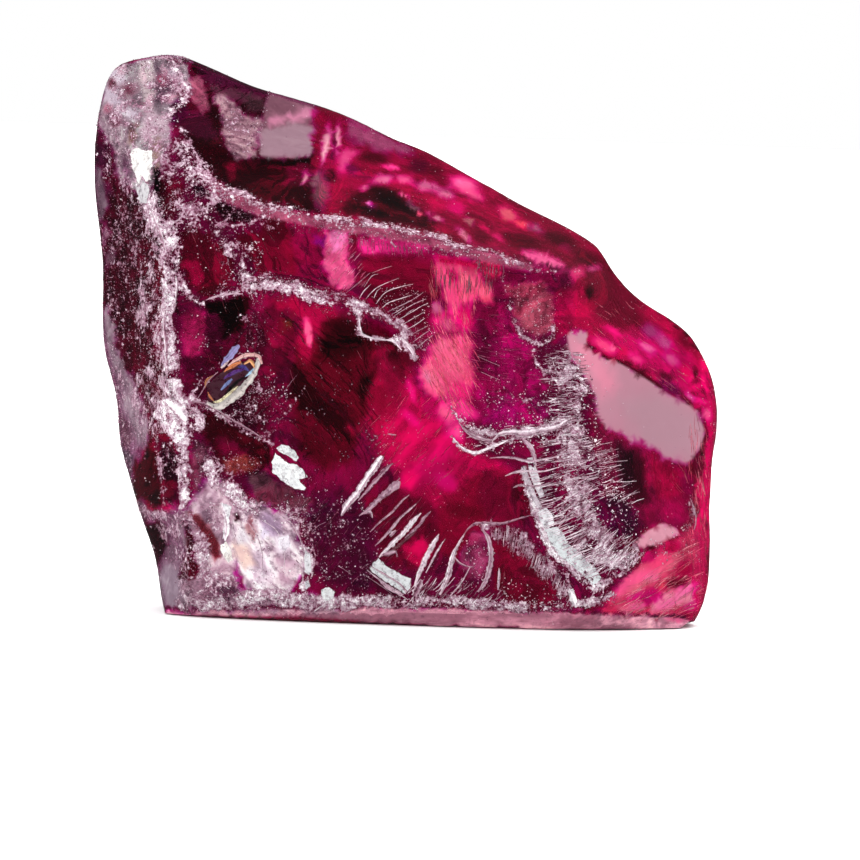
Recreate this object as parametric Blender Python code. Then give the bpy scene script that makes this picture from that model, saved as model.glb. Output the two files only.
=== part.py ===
"""A rough garnet crystal: one broken piece of clear red rhodolite, standing on its flat base.

The stone is one closed solid. Its front and its back are fracture sheets: ridges of chosen places and
depths, with a hollow conchoidal surface stretched between them. A girdle of broken side faces joins the
two sheets, and at the bottom the girdle is the flat base.

Sizes are in millimetres: x to the right, y away from the front, z up from the base.
"""

import math

import bmesh
import bpy
import numpy as np
from mathutils import Vector, noise
from mathutils.geometry import delaunay_2d_cdt

MM = 0.001

MESH_STEP = 0.30  # distance between neighbouring points of the surface
NEAREST_POINT = 0.55  # a free point keeps this share of a step to every ridge
SNAP_TO_RIM = 0.30  # a ridge that ends this near the outline ends on it
GIRDLE_BULGE_AT = 0.35  # where the girdle is widest, as a share of the way from front to back
GIRDLE_ROWS = (0.2, 0.45, 0.75)  # rows of points between the two sheets
SURFACE_GRAIN = 0.035  # height of the small unevenness of the broken surface
GRAIN_SIZE = 1.1  # distance between its lumps
GIRDLE_GRAIN = 0.12
GIRDLE_GRAIN_SIZE = 1.3
DEFAULT_DISH = 0.06  # hollow of a fracture surface that has no depth of its own below

# ---------------------------------------------------------------------------------------------------
# The outline, from the right end of the base up over the top and down to the left end of the base.
# x, z, depth of the front sheet's edge, depth of the back sheet's edge, how far the back edge is inset
# ---------------------------------------------------------------------------------------------------
OUTLINE = (
    (5.45, 0.00, -1.15, 1.90, 0.15),
    (5.72, 0.08, -0.85, 1.75, 0.20),
    (5.87, 0.42, -0.60, 1.60, 0.25),
    (5.97, 1.00, -0.40, 1.45, 0.40),
    (5.98, 1.80, -0.25, 1.30, 0.25),
    (5.93, 2.40, -0.20, 1.20, 0.20),
    (5.96, 2.90, -0.10, 1.15, 0.30),
    (6.06, 3.50, 0.00, 1.15, 0.45),
    (6.09, 4.00, 0.05, 1.20, 0.50),
    (6.02, 4.55, 0.10, 1.25, 0.40),
    (5.90, 5.08, 0.15, 1.30, 0.25),
    (5.68, 5.48, 0.20, 1.35, 0.20),
    (5.35, 5.88, 0.25, 1.45, 0.30),
    (5.00, 6.13, 0.35, 1.55, 0.35),
    (4.50, 6.42, 0.45, 1.65, 0.20),
    (4.10, 6.76, 0.50, 1.75, 0.15),
    (3.80, 7.12, 0.55, 1.85, 0.25),
    (3.58, 7.50, 0.65, 1.95, 0.20),
    (3.05, 7.85, 0.85, 2.05, 0.15),
    (2.00, 8.40, 1.00, 2.20, 0.30),
    (0.00, 9.32, 1.10, 2.40, 0.20),
    (-1.30, 9.86, 1.05, 2.30, 0.35),
    (-2.15, 10.20, 0.90, 2.15, 0.20),
    (-2.60, 10.32, 0.80, 2.05, 0.25),
    (-3.50, 10.57, 0.60, 1.90, 0.40),
    (-4.50, 10.93, 0.40, 1.70, 0.25),
    (-4.95, 11.09, 0.25, 1.55, 0.30),
    (-5.30, 11.13, 0.10, 1.45, 0.45),
    (-5.65, 11.05, -0.05, 1.35, 0.40),
    (-6.02, 10.95, -0.10, 1.30, 0.30),
    (-6.38, 10.67, -0.10, 1.25, 0.45),
    (-6.62, 10.05, -0.05, 1.20, 0.35),
    (-6.68, 9.35, 0.00, 1.15, 0.20),
    (-6.60, 8.25, 0.05, 1.20, 0.35),
    (-6.42, 7.05, 0.05, 1.25, 0.20),
    (-6.44, 5.87, 0.00, 1.30, 0.35),
    (-6.30, 4.97, -0.10, 1.40, 0.25),
    (-6.02, 3.97, -0.20, 1.50, 0.15),
    (-5.86, 2.97, -0.40, 1.60, 0.30),
    (-5.60, 2.03, -0.60, 1.75, 0.20),
    (-5.20, 1.10, -1.05, 1.95, 0.25),
    (-5.03, 0.45, -1.50, 2.15, 0.15),
    (-4.92, 0.00, -1.90, 2.25, 0.10),
)
# The base between its two ends: x, depth of its front edge, depth of its back edge
BASE = (
    (-4.30, -2.40, 2.60),
    (-3.20, -2.72, 2.95),
    (-1.80, -2.88, 3.15),
    (0.00, -2.92, 3.20),
    (1.80, -2.86, 3.05),
    (3.20, -2.60, 2.80),
    (4.50, -1.90, 2.45),
)
FRONT_INSET = 0.10  # the front sheet's edge lies this far inside the widest outline

# ---------------------------------------------------------------------------------------------------
# The front sheet. Its corners are x, z, depth.
# ---------------------------------------------------------------------------------------------------
KNOB_FOOT = (-5.00, 9.68, -0.90)
ARRIS_HIGH = (-4.58, 8.76, -1.65)
ARRIS_FORK = (-5.15, 7.25, -2.10)
SHELF_LEFT = (-5.05, 6.08, -2.50)
STAR = (-4.85, 4.20, -2.95)
SCOOP_LEFT = (-4.70, 9.15, -1.35)
SCOOP_MIDDLE = (-3.40, 9.22, -0.75)
RIB_FOOT = (-2.18, 8.05, -2.70)
RIB_MIDDLE = (-2.05, 8.98, -0.80)
TOP_END = (3.45, 7.00, -1.60)
STEP_FORK = (-3.60, 6.60, -2.90)
CHIP_LEFT = (-1.05, 6.10, -3.20)
CHIP_RIGHT = (-0.03, 5.22, -3.12)
FLAKE_TOP = (-2.85, 3.50, -3.12)
NICK_TOP = (-5.20, 3.28, -2.15)
NICK_FOOT = (-5.05, 2.08, -2.10)
SPUR_FOOT = (-4.65, 2.08, -2.75)
SILL_LEFT = (-4.45, 0.42, -2.60)
SILL_DOME = (-2.10, 0.48, -3.08)
SILL_ARC = (3.20, 0.45, -2.95)
SILL_RIGHT = (5.55, 0.40, -1.20)
CREST_LEFT = (2.95, 5.88, -2.60)
LOW_MIDDLE = (4.30, 1.28, -2.65)
LOW_RIGHT = (5.60, 1.95, -0.95)

FRONT_RIDGES = {
    "left_arris_upper": (
        KNOB_FOOT,
        (-5.20, 9.25, -1.25),
        (-5.35, 8.66, -1.52),
        (-5.30, 7.97, -1.84),
        ARRIS_FORK,
    ),
    "left_arris_middle": (ARRIS_FORK, (-5.05, 6.57, -2.36), SHELF_LEFT),
    "left_arris_lower": (SHELF_LEFT, (-5.05, 5.62, -2.60), (-4.95, 5.00, -2.78), STAR),
    "knob_left": (
        (-5.95, 10.10, -0.30),
        (-5.85, 9.35, -0.72),
        (-5.70, 8.63, -1.05),
        (-5.50, 8.02, -1.48),
        ARRIS_FORK,
    ),
    "knob_right": (KNOB_FOOT, (-4.95, 10.28, -0.25), (-4.72, 11.02, 0.32)),
    "arris_start": (KNOB_FOOT, SCOOP_LEFT),
    "arris_left": (SCOOP_LEFT, ARRIS_HIGH),
    "top_arris_left": (
        ARRIS_HIGH,
        (-4.30, 8.51, -1.98),
        (-3.80, 8.34, -2.24),
        (-3.30, 8.27, -2.44),
        (-2.80, 8.17, -2.58),
        RIB_FOOT,
    ),
    "top_arris_right": (
        RIB_FOOT,
        (-1.00, 7.91, -2.90),
        (0.00, 7.68, -3.02),
        (1.00, 7.44, -3.02),
        (1.95, 7.23, -2.86),
        (2.50, 7.09, -2.60),
        (3.00, 7.02, -2.15),
        TOP_END,
    ),
    "top_arris_end": (TOP_END, (3.80, 7.12, 0.55)),
    "top_lip_left": (
        ARRIS_HIGH,
        (-4.18, 8.22, -2.10),
        (-3.70, 8.04, -2.38),
        (-3.20, 7.94, -2.56),
        (-2.60, 7.86, -2.70),
        (-2.10, 7.76, -2.80),
        (-1.00, 7.62, -2.96),
        (0.00, 7.40, -3.06),
        (1.00, 7.18, -3.06),
        (1.90, 6.98, -2.92),
        (2.50, 7.09, -2.60),
    ),
    "rib_lower": (RIB_FOOT, (-2.10, 8.42, -2.00), RIB_MIDDLE),
    "rib_upper": (RIB_MIDDLE, (-2.15, 9.48, 0.05), (-2.35, 10.25, 0.85)),
    "scoop_crest_left": (SCOOP_LEFT, (-4.00, 9.36, -0.95), SCOOP_MIDDLE),
    "scoop_crest_right": (SCOOP_MIDDLE, (-2.80, 9.12, -0.82), RIB_MIDDLE),
    "scoop_rib": (SCOOP_MIDDLE, (-3.30, 9.92, 0.05), (-3.10, 10.46, 0.68)),
    "diagonal": (
        ARRIS_HIGH,
        (-4.30, 7.90, -2.32),
        (-3.90, 7.24, -2.70),
        STEP_FORK,
    ),
    "shelf": (SHELF_LEFT, (-4.50, 6.24, -2.72), (-4.00, 6.40, -2.84), STEP_FORK),
    "shelf_foot": (
        SHELF_LEFT,
        (-4.48, 6.44, -2.50),
        (-4.00, 6.62, -2.60),
        STEP_FORK,
    ),
    "step": (
        STEP_FORK,
        (-3.20, 6.62, -3.04),
        (-2.75, 6.63, -3.12),
        (-2.25, 6.57, -3.18),
        (-1.80, 6.38, -3.22),
        (-1.45, 6.29, -3.24),
        CHIP_LEFT,
    ),
    "step_foot": (
        STEP_FORK,
        (-3.18, 6.82, -2.82),
        (-2.72, 6.84, -2.84),
        (-2.20, 6.78, -2.88),
        (-1.72, 6.60, -2.94),
        (-1.35, 6.48, -2.98),
        (-0.95, 6.32, -3.00),
        (-0.48, 6.05, -3.00),
        (-0.05, 5.66, -3.00),
        (0.20, 5.25, -3.00),
    ),
    "chip_upper": (CHIP_LEFT, (-0.55, 5.86, -3.20), (-0.15, 5.48, -3.16), CHIP_RIGHT),
    "chip_lower": (CHIP_LEFT, (-0.98, 5.76, -2.90), (-0.60, 5.63, -2.90), CHIP_RIGHT),
    "star_right": (
        STAR,
        (-4.45, 4.16, -3.02),
        (-4.00, 4.01, -3.10),
        (-3.60, 3.79, -3.14),
        FLAKE_TOP,
    ),
    "flake_right": (
        FLAKE_TOP,
        (-2.55, 3.48, -3.26),
        (-2.32, 3.26, -3.30),
        (-2.15, 2.97, -3.28),
        (-2.05, 2.70, -3.20),
    ),
    "flake_left": (
        FLAKE_TOP,
        (-2.88, 3.02, -2.92),
        (-2.62, 2.74, -2.96),
        (-2.05, 2.70, -3.20),
    ),
    "star_low": (
        STAR,
        (-4.42, 3.84, -2.84),
        (-4.18, 3.36, -2.84),
        (-3.95, 2.88, -2.92),
        (-3.55, 2.46, -3.06),
        (-3.10, 2.28, -3.14),
        (-2.60, 2.21, -3.16),
        (-2.18, 1.95, -3.16),
        (-1.95, 1.43, -3.14),
        (-1.92, 0.93, -3.12),
        SILL_DOME,
    ),
    "spur": (STAR, (-4.72, 3.62, -2.84), (-4.62, 2.86, -2.84), SPUR_FOOT),
    "spur_foot": (SPUR_FOOT, (-4.50, 1.50, -2.66), (-4.40, 0.95, -2.68), SILL_LEFT),
    "nick_upper": (STAR, (-5.05, 3.76, -2.46), NICK_TOP),
    "nick_left": (NICK_TOP, (-5.38, 2.73, -1.55), (-5.56, 2.18, -0.78)),
    "nick_middle": (NICK_TOP, (-5.02, 2.68, -2.30), NICK_FOOT),
    "nick_foot_left": (NICK_FOOT, (-5.56, 2.18, -0.78)),
    "nick_foot_right": (NICK_FOOT, SPUR_FOOT),
    "sill_start": ((-5.03, 0.45, -1.50), SILL_LEFT),
    "sill_left": (SILL_LEFT, (-3.50, 0.45, -2.88), SILL_DOME),
    "sill_middle": (SILL_DOME, (-0.80, 0.46, -3.16), (1.60, 0.46, -3.14), SILL_ARC),
    "sill_right": (SILL_ARC, (4.30, 0.42, -2.35), SILL_RIGHT),
    "sill_end": (SILL_RIGHT, (5.87, 0.42, -0.60)),
    "crest": (
        CREST_LEFT,
        (3.40, 5.64, -2.34),
        (4.40, 5.11, -1.60),
        (4.95, 4.76, -1.12),
        (5.50, 4.45, -0.55),
        (6.02, 4.55, 0.10),
    ),
    "fringe": (
        CREST_LEFT,
        (3.12, 5.10, -2.84),
        (3.35, 4.56, -2.92),
        (3.52, 3.97, -2.98),
        (3.60, 3.38, -3.02),
        (3.78, 2.74, -2.98),
        (4.08, 2.10, -2.84),
        LOW_MIDDLE,
    ),
    "low_left": (SILL_ARC, (3.70, 0.83, -2.98), LOW_MIDDLE),
    "low_right": (LOW_MIDDLE, (4.90, 1.68, -2.10), LOW_RIGHT),
    "edge_upper": ((5.80, 4.28, -0.28), (5.62, 3.38, -0.55), (5.58, 2.60, -0.75), LOW_RIGHT),
    "edge_lower": (LOW_RIGHT, (5.62, 1.10, -1.10), SILL_RIGHT),
}
# A named fracture surface: a place on it, the depth of its hollow, and its ripples, which are the
# centre of the rings, the distance between two rings and their height
FRONT_SURFACES = {
    "main": ((0.50, 3.00), 0.55, ((1.2, 6.8), 1.9, 0.030)),
    "left_face": ((-5.90, 7.00), 0.20, ((-5.8, 10.5), 1.8, 0.035)),
    "left_wedge": ((-5.40, 8.40), 0.12, None),
    "shelf_face": ((-4.50, 7.00), 0.34, None),
    "diagonal_face": ((-4.60, 8.20), 0.12, None),
    "scoop_low": ((-3.40, 8.80), 0.25, None),
    "scoop_dark": ((-4.20, 10.20), 0.28, None),
    "scoop_bright": ((-2.70, 9.90), 0.08, None),
    "top_right_face": ((0.80, 8.40), 0.30, ((-2.0, 8.2), 1.6, 0.050)),
    "right_upper": ((4.30, 5.90), -0.18, None),
    "right_concave": ((4.60, 3.20), 0.50, ((6.2, 4.9), 1.7, 0.030)),
    "lower_right": ((4.90, 1.00), 0.16, None),
    "dark_triangle": ((-3.60, 3.30), 0.42, None),
    "dome": ((-2.90, 1.40), -0.30, None),
    "spur_face": ((-4.35, 2.60), 0.12, None),
    "nick_dark": ((-5.25, 2.50), 0.14, None),
    "nick_sliver": ((-4.88, 2.80), 0.12, None),
    "flake": ((-2.50, 3.05), 0.02, None),
    "chip": ((-0.60, 5.76), 0.02, None),
    "sill_band": ((0.40, 0.22), 0.02, None),
}
# Raised hackles, where the crack tore as it ran: their line, their width and their height
FRONT_HACKLES = {
    "comb_1": (((-1.40, 2.16), (-0.66, 3.20)), 0.18, 0.13),
    "comb_2": (((-1.12, 2.10), (-0.50, 2.66)), 0.12, 0.08),
    "comb_3": (((-0.87, 1.84), (-0.14, 2.52)), 0.10, 0.09),
    "comb_4": (((-0.74, 1.48), (0.10, 2.32)), 0.13, 0.11),
    "comb_5": (((-0.76, 1.16), (0.32, 2.16)), 0.13, 0.11),
    "comb_6": (((0.12, 0.76), (0.40, 1.32), (0.62, 1.82)), 0.15, 0.12),
    "comb_7": (((0.54, 0.72), (0.86, 1.28), (1.02, 1.92)), 0.15, 0.12),
    "comb_8": (((1.40, 0.76), (1.64, 1.32), (1.44, 1.92)), 0.14, 0.11),
    "comb_9": (((1.78, 0.70), (1.84, 1.18)), 0.10, 0.08),
    "slab": (((-0.86, 1.00), (-0.15, 0.64)), 0.26, 0.14),
    "arc": (
        ((2.22, 3.20), (2.38, 2.66), (2.62, 2.14), (2.88, 1.70), (3.20, 1.28), (3.60, 0.92)),
        0.26,
        0.16,
    ),
    "brow": (((1.00, 3.84), (1.50, 3.83), (2.10, 3.86), (2.60, 3.90), (3.15, 4.08)), 0.16, 0.12),
    "lash": (((1.45, 3.36), (2.10, 3.34), (2.85, 3.42)), 0.12, 0.09),
    "loop_left": (((1.84, 6.62), (1.78, 6.20), (2.02, 5.80), (2.40, 5.64)), 0.10, 0.07),
}

# ---------------------------------------------------------------------------------------------------
# The back sheet, named and measured in the same way, from the front
# ---------------------------------------------------------------------------------------------------
BACK_PEAK = (-2.70, 6.60, 3.95)
BACK_SHOULDER = (1.90, 4.70, 3.85)
BACK_FOOT = (-1.00, 2.30, 4.20)
BACK_SADDLE = (-0.35, 5.55, 4.15)

BACK_RIDGES = {
    "back_left_high": ((-6.20, 8.30, 1.20), (-4.60, 7.60, 2.95), BACK_PEAK),
    "back_left_low": ((-6.10, 4.40, 1.45), (-4.30, 4.90, 3.10), BACK_PEAK),
    "back_top": (BACK_PEAK, (-1.70, 8.20, 3.35), (-1.20, 9.50, 2.30)),
    "back_ridge_left": (BACK_PEAK, (-1.60, 5.90, 4.15), BACK_SADDLE),
    "back_ridge_right": (BACK_SADDLE, (0.80, 5.00, 4.10), BACK_SHOULDER),
    "back_right_high": (BACK_SHOULDER, (3.00, 5.70, 2.90), (4.00, 6.60, 1.75)),
    "back_right_low": (BACK_SHOULDER, (4.00, 3.60, 2.75), (5.70, 3.10, 1.15)),
    "back_keel": (BACK_PEAK, (-2.20, 4.40, 4.20), BACK_FOOT),
    "back_keel_right": (BACK_SHOULDER, (0.60, 3.30, 4.15), BACK_FOOT),
    "back_foot_left": (BACK_FOOT, (-3.40, 1.70, 3.40), (-5.00, 1.20, 1.95)),
    "back_foot_middle": (BACK_FOOT, (-0.60, 1.10, 3.75), (-0.40, 0.00, 3.20)),
    "back_foot_right": (BACK_SHOULDER, (2.70, 2.20, 3.40), (3.30, 0.00, 2.80)),
}
BACK_SURFACES = {
    "back_top_left": ((-4.00, 9.20), 0.32, ((-5.5, 11.0), 1.7, 0.045)),
    "back_top_right": ((1.20, 7.30), 0.36, ((-2.5, 9.5), 1.8, 0.050)),
    "back_left": ((-4.80, 6.20), 0.28, None),
    "back_lower_left": ((-3.80, 3.20), 0.36, ((-6.0, 3.0), 1.6, 0.045)),
    "back_middle": ((-0.60, 4.20), 0.30, None),
    "back_right": ((4.20, 5.00), 0.28, None),
    "back_lower_right": ((4.40, 1.90), 0.32, ((5.6, 0.2), 1.5, 0.040)),
    "back_low_middle": ((1.20, 1.60), 0.34, ((1.4, -0.8), 1.5, 0.045)),
    "back_low_left": ((-2.60, 0.80), 0.18, None),
}
BACK_HACKLES = {
    "back_comb_1": (((-4.70, 9.60), (-4.10, 8.60)), 0.14, 0.10),
    "back_comb_2": (((-4.20, 9.80), (-3.60, 8.80)), 0.14, 0.10),
    "back_comb_3": (((-3.70, 9.90), (-3.10, 8.90)), 0.14, 0.10),
    "back_arc": (((0.20, 8.10), (1.00, 7.10), (2.10, 6.50)), 0.20, 0.14),
    "back_comb_4": (((3.20, 2.60), (4.10, 1.90)), 0.14, 0.10),
    "back_comb_5": (((3.10, 2.10), (4.00, 1.40)), 0.14, 0.10),
    "back_lip": (((-4.60, 3.90), (-3.70, 3.20), (-2.70, 3.00)), 0.18, 0.12),
}


def start_clean():
    """Remove what the scene holds."""
    for obj in list(bpy.data.objects):
        bpy.data.objects.remove(obj)


def smooth_line(points, closed=False):
    """The points of a Catmull-Rom curve through these points, about one mesh step apart."""
    pts = np.array(points, float)
    before = np.roll(pts, 1, axis=0) if closed else np.vstack([2 * pts[:1] - pts[1:2], pts[:-1]])
    after = np.roll(pts, -1, axis=0)
    after2 = np.roll(pts, -2, axis=0)
    if not closed:
        beyond = 2 * pts[-1] - pts[-2]
        after = np.vstack([pts[1:], beyond])
        after2 = np.vstack([pts[2:], beyond, beyond])
    spans = len(pts) if closed else len(pts) - 1
    line = []
    for i in range(spans):
        a, b, c, d = before[i], pts[i], after[i], after2[i]
        pieces = max(1, round(np.linalg.norm((c - b)[:2]) / MESH_STEP))
        for k in range(pieces):
            t = k / pieces
            line.append(
                0.5
                * (
                    2 * b
                    + (c - a) * t
                    + (2 * a - 5 * b + 4 * c - d) * t * t
                    + (3 * b - a - 3 * c + d) * t**3
                )
            )
    if not closed:
        line.append(pts[-1])
    return np.array(line)


def inward_normals(loop):
    """Unit normals of a closed anticlockwise loop in the x-z plane, pointing into it."""
    along = np.roll(loop, -1, axis=0) - np.roll(loop, 1, axis=0)
    along /= np.linalg.norm(along, axis=1)[:, None]
    return np.stack([-along[:, 1], along[:, 0]], axis=1)


def rim_lines():
    """The widest outline, and the edges of the front and the back sheet, as closed loops of x, z, y."""
    girdle = smooth_line([(x, z, front, back, inset) for x, z, front, back, inset in OUTLINE])
    ends = [OUTLINE[-1], *[(x, 0.0, f, b, 0.0) for x, f, b in BASE], OUTLINE[0]]
    floor = smooth_line(ends)[1:-1]
    loop = np.vstack([girdle, floor])
    on_base = np.arange(len(loop)) >= len(girdle)
    on_base[[0, len(girdle) - 1]] = True
    inward = inward_normals(loop[:, :2])
    inward[on_base, 1] = 0.0
    inward[len(girdle):, 0] = 0.0
    widest = np.column_stack([loop[:, :2], np.zeros(len(loop))])
    widest[on_base, 1] = 0.0
    front, back = widest.copy(), widest.copy()
    front[:, :2] += inward * FRONT_INSET
    front[:, 2] = loop[:, 2]
    back[:, :2] += inward * loop[:, 4:5]
    back[:, 2] = loop[:, 3]
    return widest, front, back, on_base


def inside(points, loop):
    """Which points lie inside the loop, in the x-z plane."""
    x, z = points[:, :1], points[:, 1:2]
    ax, az = loop[:, 0], loop[:, 1]
    bx, bz = np.roll(ax, -1), np.roll(az, -1)
    crosses = (az > z) != (bz > z)
    rise = np.where(bz == az, 1.0, bz - az)
    left = x < (bx - ax) * (z - az) / rise + ax
    return (crosses & left).sum(axis=1) % 2 == 1


def distance_to_segments(points, starts, ends):
    """Distance from each point to the nearest of these segments."""
    nearest = np.full(len(points), np.inf)
    for a, b in zip(starts, ends):
        along = b - a
        share = np.clip((points - a) @ along / max(along @ along, 1e-12), 0.0, 1.0)
        nearest = np.minimum(nearest, np.linalg.norm(points - a - share[:, None] * along, axis=1))
    return nearest


def free_points(loop, starts, ends):
    """A hexagonal grid of points inside the loop, clear of every given segment."""
    low, high = loop.min(axis=0), loop.max(axis=0)
    row_height = MESH_STEP * math.sqrt(3) / 2
    rows = []
    for j, z in enumerate(np.arange(low[1], high[1], row_height)):
        xs = np.arange(low[0] + (j % 2) * MESH_STEP / 2, high[0], MESH_STEP)
        rows.append(np.column_stack([xs, np.full(len(xs), z)]))
    grid = np.vstack(rows)
    grid = grid[inside(grid, loop)]
    return grid[distance_to_segments(grid, starts, ends) > NEAREST_POINT * MESH_STEP]


class Plan:
    """The points and lines that a sheet's triangles have to follow, seen from the front."""

    def __init__(self):
        self.points = []
        self.depths = []  # None where the depth is left free
        self.raised = []  # how far a hackle stands out of the surface here
        self.places = {}
        self.edges = []
        self.ridge_edges = set()

    def add(self, x, z, depth=None, raised=0.0):
        key = (round(float(x), 3), round(float(z), 3))
        if key not in self.places:
            self.places[key] = len(self.points)
            self.points.append(Vector(key))
            self.depths.append(depth)
            self.raised.append(raised)
        index = self.places[key]
        if self.depths[index] is None:
            self.depths[index] = depth
        return index

    def join(self, indices, ridge):
        for a, b in zip(indices, indices[1:]):
            if a != b:
                if ridge:
                    self.ridge_edges.add(len(self.edges))
                self.edges.append((a, b))


def snapped(end, rim):
    """A ridge's end, moved to the rim where it nearly reaches it."""
    gaps = np.linalg.norm(rim[:, :2] - np.array(end[:2]), axis=1)
    nearest = int(gaps.argmin())
    return tuple(rim[nearest]) if gaps[nearest] < SNAP_TO_RIM else end


def hackle_lines(points, width):
    """The foot and the crest of a hackle: two lines that meet at its ends, and the crest's taper."""
    foot = smooth_line([(*p, 0.0) for p in points])[:, :2]
    if len(foot) < 4:
        shares = np.linspace(0, 1, 4)[:, None]
        foot = foot[0] + shares * (foot[-1] - foot[0])
    along = np.gradient(foot, axis=0)
    along /= np.linalg.norm(along, axis=1)[:, None]
    taper = np.sin(math.pi * np.linspace(0, 1, len(foot))) ** 0.5
    taper[[0, -1]] = 0.0
    crest = foot + np.stack([along[:, 1], -along[:, 0]], axis=1) * (taper * width)[:, None]
    return foot, crest, taper


def neighbours_of(faces):
    """The pairs of neighbouring points, each way round."""
    pairs = {(a, b) for f in faces for a, b in zip(f, (*f[1:], f[0]))}
    pairs |= {(b, a) for a, b in pairs}
    return np.array(sorted(pairs))


def stretched(places, pairs, fixed, depths):
    """Depths of a skin stretched over the fixed points, and how far an even pressure dents it."""
    count = len(places)
    weights = 1.0 / np.linalg.norm(places[pairs[:, 0]] - places[pairs[:, 1]], axis=1)
    matrix = np.zeros((count, count))
    matrix[pairs[:, 0], pairs[:, 1]] = -weights
    matrix[np.arange(count), np.arange(count)] = -matrix.sum(axis=1)
    free = ~fixed
    pull = -matrix[np.ix_(free, fixed)] @ depths[fixed]
    solved = np.linalg.solve(matrix[np.ix_(free, free)], np.column_stack([pull, np.ones(free.sum())]))
    skin, pressed = depths.copy(), np.zeros(count)
    skin[free], pressed[free] = solved[:, 0], solved[:, 1]
    return skin, pressed


def surfaces_of(faces, barriers):
    """A number for each face: faces that meet across no barrier share it."""
    parent = list(range(len(faces)))

    def root(i):
        while parent[i] != i:
            parent[i] = parent[parent[i]]
            i = parent[i]
        return i

    owner = {}
    for i, f in enumerate(faces):
        for a, b in zip(f, (*f[1:], f[0])):
            edge = (min(a, b), max(a, b))
            if edge in barriers:
                continue
            if edge in owner:
                parent[root(i)] = root(owner[edge])
            owner[edge] = i
    return [root(i) for i in range(len(faces))]


def numbers_outside(faces, numbers, rim):
    """The numbers of the surfaces that lie beyond the rim, whose faces take its edges backwards."""
    backwards = set(zip([*rim[1:], rim[0]], rim))
    return {n for f, n in zip(faces, numbers) if backwards.intersection(zip(f, (*f[1:], f[0])))}


def grain(x, y, z, size, seed):
    return noise.noise(Vector((x / size + seed, y / size, z / size)))


def planned(rim, ridges, hackles):
    """The plan of a sheet, and its rim's points in order."""
    plan = Plan()
    rim_indices = [plan.add(x, z, y) for x, z, y in rim]
    plan.join([*rim_indices, rim_indices[0]], ridge=True)
    for line in ridges.values():
        line = [snapped(line[0], rim), *line[1:-1], snapped(line[-1], rim)]
        plan.join([plan.add(*p) for p in smooth_line(line)], ridge=True)
    for line, width, height in hackles.values():
        foot, crest, taper = hackle_lines(line, width)
        plan.join([plan.add(*p) for p in foot], ridge=False)
        plan.join([plan.add(*p, raised=height * t) for p, t in zip(crest, taper)], ridge=False)
    places = np.array(plan.points)
    starts = places[[a for a, _ in plan.edges]]
    ends = places[[b for _, b in plan.edges]]
    for x, z in free_points(rim[:, :2], starts, ends):
        plan.add(x, z)
    return plan, rim_indices


class Sheet:
    """The triangles of a plan, and at each of their points what the plan says of it."""

    def __init__(self, plan, rim_indices):
        places, edges, faces, from_points, from_edges, _ = delaunay_2d_cdt(
            plan.points, plan.edges, [], 1, 1e-5, True
        )
        self.places = np.array(places)
        self.fixed = np.zeros(len(places), bool)
        self.depths = np.zeros(len(places))
        self.raised = np.zeros(len(places))
        order = {}
        for i, origins in enumerate(from_points):
            for origin in origins:
                order[origin] = i
                self.raised[i] = max(self.raised[i], plan.raised[origin])
                if plan.depths[origin] is not None:
                    self.fixed[i] = True
                    self.depths[i] = plan.depths[origin]
        self.rim = [order[i] for i in rim_indices]
        barriers = {
            (min(e), max(e)) for e, o in zip(edges, from_edges) if plan.ridge_edges.intersection(o)
        }
        numbers = surfaces_of(faces, barriers)
        outside = numbers_outside(faces, numbers, self.rim)
        inner = [(f, n) for f, n in zip(faces, numbers) if n not in outside]
        self.faces = [f for f, _ in inner]
        self.numbers = [n for _, n in inner]

    def hollows(self, surfaces, pressed):
        """How far the dish and the ripples of the fracture surfaces press each point in."""
        middles = np.array([self.places[list(f)].mean(axis=0) for f in self.faces])
        shapes = {}
        for place, dish, ripples in surfaces.values():
            nearest = int(np.linalg.norm(middles - place, axis=1).argmin())
            shapes[self.numbers[nearest]] = (dish, ripples)
        hollow = np.zeros(len(self.places))
        for number in set(self.numbers):
            own = sorted({v for f, n in zip(self.faces, self.numbers) if n == number for v in f})
            dish, ripples = shapes.get(number, (DEFAULT_DISH, None))
            share = pressed[own] / max(pressed[own].max(), 1e-9)
            hollow[own] += dish * share
            if ripples:
                centre, ring, height = ripples
                turns = np.linalg.norm(self.places[own] - centre, axis=1) / ring
                hollow[own] += height * np.sin(2 * math.pi * turns) * np.minimum(1, 3 * share)
        return hollow


def make_sheet(rim, ridges, surfaces, hackles, inward, seed):
    """A fracture sheet inside the rim. Returns its points as x, y, z and its faces; the rim comes first."""
    sheet = Sheet(*planned(rim, ridges, hackles))
    pairs = neighbours_of(sheet.faces)
    skin, pressed = stretched(sheet.places, pairs, sheet.fixed, sheet.depths)
    depth = skin + inward * (sheet.hollows(surfaces, pressed) - sheet.raised)
    for i in np.flatnonzero(~sheet.fixed):
        x, z = sheet.places[i]
        depth[i] += SURFACE_GRAIN * grain(x, depth[i], z, GRAIN_SIZE, seed)
    on_rim = set(sheet.rim)
    order = [*sheet.rim, *[i for i in range(len(depth)) if i not in on_rim]]
    new_place = {old: new for new, old in enumerate(order)}
    points = [(sheet.places[i][0], depth[i], sheet.places[i][1]) for i in order]
    return points, [tuple(new_place[v] for v in f) for f in sheet.faces]


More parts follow.
